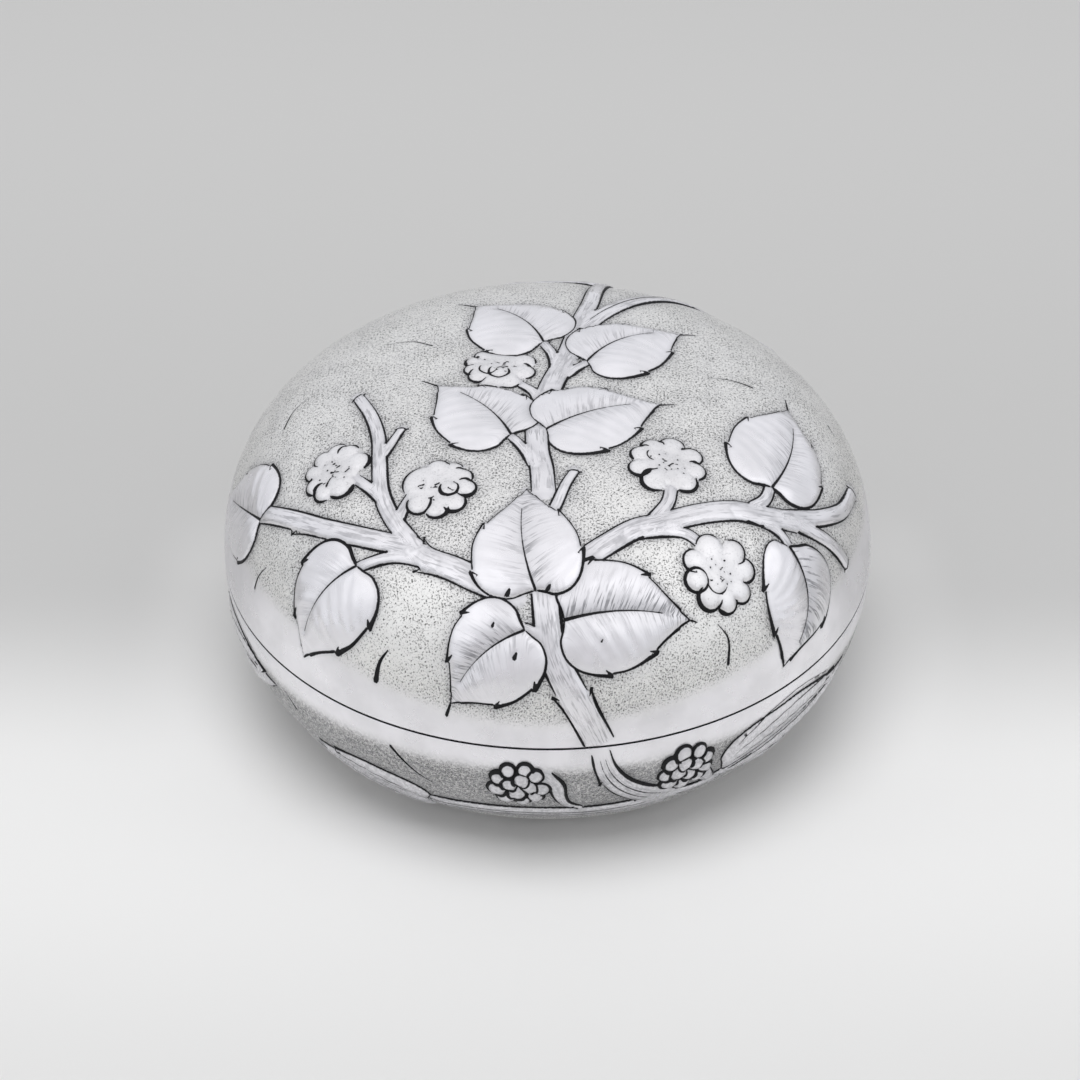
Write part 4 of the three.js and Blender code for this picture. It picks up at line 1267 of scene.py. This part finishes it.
def chased_silver():
    """Sterling with a matted ground of punched dots, hatched leaves and darkened lines."""
    material = bpy.data.materials.new("chased_silver")
    n = Nodes(material)
    where = n.position()
    chart, grain = n.attribute("chart", "Vector"), n.attribute("grain", "Vector")
    names = ("ground", "line", "hatch", "oxide_and_painted_shade", "painted_shade", "ground_brightening")
    ground, line, hatch, oxide_and_painted_shade, painted_shade, brightening = (n.attribute(name) for name in names)

    dots = matting(n, chart, ground, painted_shade, oxide_and_painted_shade, brightening)
    mottle = n.ramp(n.noise(chart, MOTTLE_SCALE, 2, 0.6), 0.38, 0.66, 0, 0.24)
    dusk = n.plus(mottle, n.ramp(n.noise(chart, DUSK_SCALE, 3), 0.4, 0.7, 0, 0.13))
    dusk = n.times(dusk, n.minus(1.0, brightening))

    # Hatching beside each midrib and streaks along each branch
    streaks = n.noise(n.scaled(grain, STREAK_SCALES), 1.0, 2, 0.6)
    shown = n.ramp(n.noise(chart, HATCH_PATCH_SCALE, 2), 0.35, 0.62, 0.35, 1)
    hatching = n.times(n.ramp(streaks, 0.49, 0.59), n.times(hatch, shown))

    # Darkened lines, softened a little at their edges
    wobble = n.times(n.minus(n.noise(where, WOBBLE_SCALE, 2), 0.5), 0.12)
    drawn = n.ramp(n.plus(line, wobble), -0.05, 0.06)
    smudge = n.ramp(line, -0.7, 0.0, 0.0, 0.3)

    # Uneven patches in the bowl's painted shade
    shade_patches = n.ramp(n.noise(chart, SHADE_PATCH_SCALE, 3, 0.7), 0.4, 0.6, 0.3, 0.85)
    colour = n.mix(n.ramp(n.noise(where, CLOUD_SCALE, 3), 0.35, 0.68), SILVER, SILVER_WORN)
    # Painted shade in these layers: on the bowl's wall, for the shadowed floor that it reflects, and beside
    # and within forms, with some oxide in the hollows
    layers = (
        (ground, 0.8, SILVER_GROUND),
        (dusk, ground, SILVER_SHADE),
        (painted_shade, shade_patches, SILVER_HATCH_AND_SHADE),
        (hatching, 0.85, SILVER_HATCH_AND_SHADE),
        (oxide_and_painted_shade, 0.5, SILVER_SHADE),
        (smudge, 0.6, SILVER_SHADE),
    )
    for share, weight, tone in layers:
        colour = n.mix(n.times(share, weight), colour, tone)
    colour = n.mix(dots, colour, DOT_TONE)
    colour = n.mix(drawn, colour, OXIDE)

    rough = n.ramp(n.noise(where, GLOSS_SCALE, 3), 0.3, 0.7, 0.26, 0.34)
    rough = n.plus(n.plus(rough, n.times(ground, 0.14)), n.times(drawn, 0.3))
    planished = n.bump(n.noise(where, PLANISH_SCALE, 2), PLANISH_BUMP, 0.35)
    hatched = n.bump(n.times(streaks, hatch), HATCH_BUMP, 0.5, planished)
    punched = n.bump(n.minus(1.0, dots), PUNCH_BUMP, 0.7, hatched)
    n.fill(n.shader, {"Base Color": colour, "Roughness": rough, "Metallic": 1.0, "Normal": punched})
    return material


def plain_silver():
    """Polished sterling with faint turning marks and a little tarnish in cloudy patches."""
    material = bpy.data.materials.new("plain_silver")
    n = Nodes(material)
    where = n.position()
    marks = n.noise(n.scaled(where, (1, 1, 60)), 60, 2)
    colour = n.mix(n.ramp(n.noise(where, 90, 4), 0.35, 0.75), SILVER, SILVER_TARNISHED)
    rough = n.ramp(marks, 0.3, 0.7, 0.18, 0.28)
    turned = n.bump(marks, TURNING_BUMP, 0.4)
    n.fill(n.shader, {"Base Color": colour, "Roughness": rough, "Metallic": 1.0, "Normal": turned})
    return material


# Pieces

BAND_CORNER_STEPS = 4


def band(name, inner, outer, low, high, rounding):
    """A flat ring with rounded edges."""
    near, far = inner + rounding, outer - rounding
    under, over = low + rounding, high - rounding
    rings = []
    for radius, level, start in ((near, under, 180), (far, under, 270), (far, over, 0), (near, over, 90)):
        for step in range(BAND_CORNER_STEPS):
            angle = math.radians(start + step * 90 / (BAND_CORNER_STEPS - 1))
            rings.append(ring_at(radius + rounding * math.cos(angle), level + rounding * math.sin(angle)))
    faces = []
    for i in range(len(rings)):
        second = (i + 1) % len(rings)
        faces += band_faces(i * RING_STEPS, second * RING_STEPS)[:, ::-1].tolist()
    return mesh_object(name, np.vstack(rings), faces)


def dress(piece, body, node, material):
    piece.data.materials.append(material)
    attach(piece, body)
    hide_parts(node)


# Where the lid's ground is made brightest, with fewer specks and less mottling: a place and its size, as
# shares of the arc
BRIGHTER_GROUND_PLACES = [(0.27, -0.57, 0.3), (-0.36, -0.64, 0.24)]

# Where the matting starts to fade and where it ends, as shares of the arc, and how much later at the front
LID_BAND_SHARES = (0.82, 0.885, 0.08)
BOWL_BAND_SHARES = (0.9, 0.965, 0)
PLAIN_BASE_SHARE = 0.56
EDGE_ROUND, COLLAR_ROUND = 0.12, 0.24

chased = chased_silver()
plain = plain_silver()
lid = build_sheet("lid_sheet", LID_FACES, lid_ornament(), LID_BAND_SHARES, brighter_places=BRIGHTER_GROUND_PLACES)
# The bowl carries painted shade on its wall, for the shadowed floor that it reflects
bowl = build_sheet("bowl_sheet", BOWL_FACES, bowl_ornament(), BOWL_BAND_SHARES, painted_shade=1.0,
                   plain_inside=PLAIN_BASE_SHARE * BOWL_REACH, base_radius=BASE_RADIUS)
lid_rim = band("lid_rim_band", COLLAR_HIGH.x + LIFT_CLEARANCE, RIM_HIGH.x, RIM_LOW.z, RIM_HIGH.z, EDGE_ROUND)
bowl_rim = band("bowl_rim_band", BOWL_RIM_HIGH.x - BOWL_RING_THICKNESS, BOWL_RIM_HIGH.x, BOWL_RIM_LOW.z,
                BOWL_RIM_HIGH.z, EDGE_ROUND)
collar = band("collar_band", COLLAR_HIGH.x - COLLAR_THICKNESS, COLLAR_HIGH.x, COLLAR_LOW.z, COLLAR_HIGH.z,
              COLLAR_ROUND)
dress(lid, "lid", "lid", chased)
dress(bowl, "bowl", "bowl", chased)
dress(lid_rim, "lid", "lid_rim_ring", plain)
dress(bowl_rim, "bowl", "bowl_rim_ring", plain)
dress(collar, "bowl", "collar", plain)


# Floor, light and camera

FLOOR_SIZE = 8.0
FLOOR_LEVEL = -0.00003
BACK_TONE = (0.69, 0.69, 0.69, 1)
NEAR_BACK_TONE = (0.62, 0.62, 0.62, 1)
PALE_TONE = (0.9, 0.9, 0.9, 1)
FRONT_TONE = (0.8, 0.8, 0.8, 1)
PAINTED_LIGHT_TONE = (1.0, 1.0, 1.0, 1)
ROOM_TONE = (0.42, 0.42, 0.42, 1)
MIRRORED_HORIZON = (0.84, 0.85, 0.875, 1)
MIRRORED_FRONT = (0.725, 0.72, 0.74, 1)
MIRRORED_TOP = (1.03, 1.03, 1.05, 1)
LAMP_AIM = Vector((0, 0, 0.03))
CAMERA_ELEVATION = 37.0
CAMERA_DISTANCE = 0.6
CAMERA_SHIFT = -0.0014
CAMERA_LENS, CAMERA_SENSOR = 107.2, 36.0
CAMERA_CLIP = 0.01


def floor():
    """A pale sweep, greyer behind the box in one soft step across the floor, and paler right beside it, where
    painted light lifts the shade at the box's sides.
    """
    material = bpy.data.materials.new("floor")
    n = Nodes(material)
    where = n.position()
    y = n.part(where, "Y")
    # Painted light: the floor is paler right beside the box at its sides, where the shade round the box falls
    side = n.ramp(n.math("ABSOLUTE", n.part(where, "X")), 0.085, 0.055, 0, 0.4)
    beside = n.times(n.times(n.ramp(y, -0.045, -0.01), n.ramp(y, 0.06, 0.03)), side)
    behind = n.mix(n.ramp(y, 0.05, 0.25), NEAR_BACK_TONE, BACK_TONE)
    before = n.mix(n.ramp(y, -0.05, -0.12), PALE_TONE, FRONT_TONE)
    sweep = n.mix(n.ramp(y, -0.03, 0.03), before, behind)
    tone = n.mix(beside, sweep, PAINTED_LIGHT_TONE)
    n.fill(n.shader, {"Base Color": tone, "Roughness": 0.9, "Specular IOR Level": 0.0})
    half = FLOOR_SIZE / 2
    corners = [(x * half, y * half, FLOOR_LEVEL) for x, y in ((-1, -1), (1, -1), (1, 1), (-1, 1))]
    mesh = bpy.data.meshes.new("floor")
    mesh.from_pydata(corners, [], [(0, 1, 2, 3)])
    mesh.materials.append(material)
    add_object("floor", mesh)


def surroundings():
    """Pale room light. The camera sees the backdrop's tone; the silver sees a studio, dimmer at the front."""
    world = bpy.data.worlds.new("studio")
    bpy.context.scene.world = world
    n = Nodes(world, "Background")
    path = n.make("LightPath", {})
    bearing = n.make("TexCoord", {})["Generated"]
    mirrored = n.mix(n.ramp(n.part(bearing, "Z"), 0.3, 1.0), MIRRORED_HORIZON, MIRRORED_TOP)
    mirrored = n.mix(n.ramp(n.part(bearing, "Y"), -0.74, -0.97), mirrored, MIRRORED_FRONT)
    seen = n.math("MAXIMUM", path["Is Glossy Ray"], path["Is Transmission Ray"])
    light = n.mix(seen, ROOM_TONE, mirrored)
    n.fill(n.shader, {"Color": n.mix(path["Is Camera Ray"], light, BACK_TONE)})


def lamp(name, place, size, power, mirrored):
    """A round soft lamp that shines on the box; mirrored says whether the silver shows it."""
    data = bpy.data.lights.new(name, "AREA")
    data.shape = "DISK"
    data.size = size
    data.energy = power
    made = add_object(name, data)
    made.location = place
    made.rotation_euler = (LAMP_AIM - Vector(place)).to_track_quat("-Z", "Y").to_euler()
    made.visible_glossy = mirrored
    made.visible_camera = False


def camera():
    data = bpy.data.cameras.new("camera")
    data.lens = CAMERA_LENS
    data.sensor_width = CAMERA_SENSOR
    data.clip_start = CAMERA_CLIP
    made = add_object("camera", data)
    turn = math.radians(CAMERA_ELEVATION)
    aim = Vector((CAMERA_SHIFT, 0, BOWL_HEIGHT * MM))
    back = Vector((0, -math.cos(turn), math.sin(turn)))
    made.location = aim + CAMERA_DISTANCE * back
    made.rotation_euler = back.to_track_quat("Z", "Y").to_euler()
    bpy.context.scene.camera = made


floor()
surroundings()
lamp("overhead", (-0.04, -0.36, 1.25), size=0.9, power=9.0, mirrored=False)
lamp("left", (-0.95, -0.55, 1.1), size=1.4, power=0.8, mirrored=True)
lamp("right", (0.95, -0.5, 1.0), size=1.5, power=1.2, mirrored=True)
camera()
bpy.context.scene.view_settings.view_transform = "Standard"
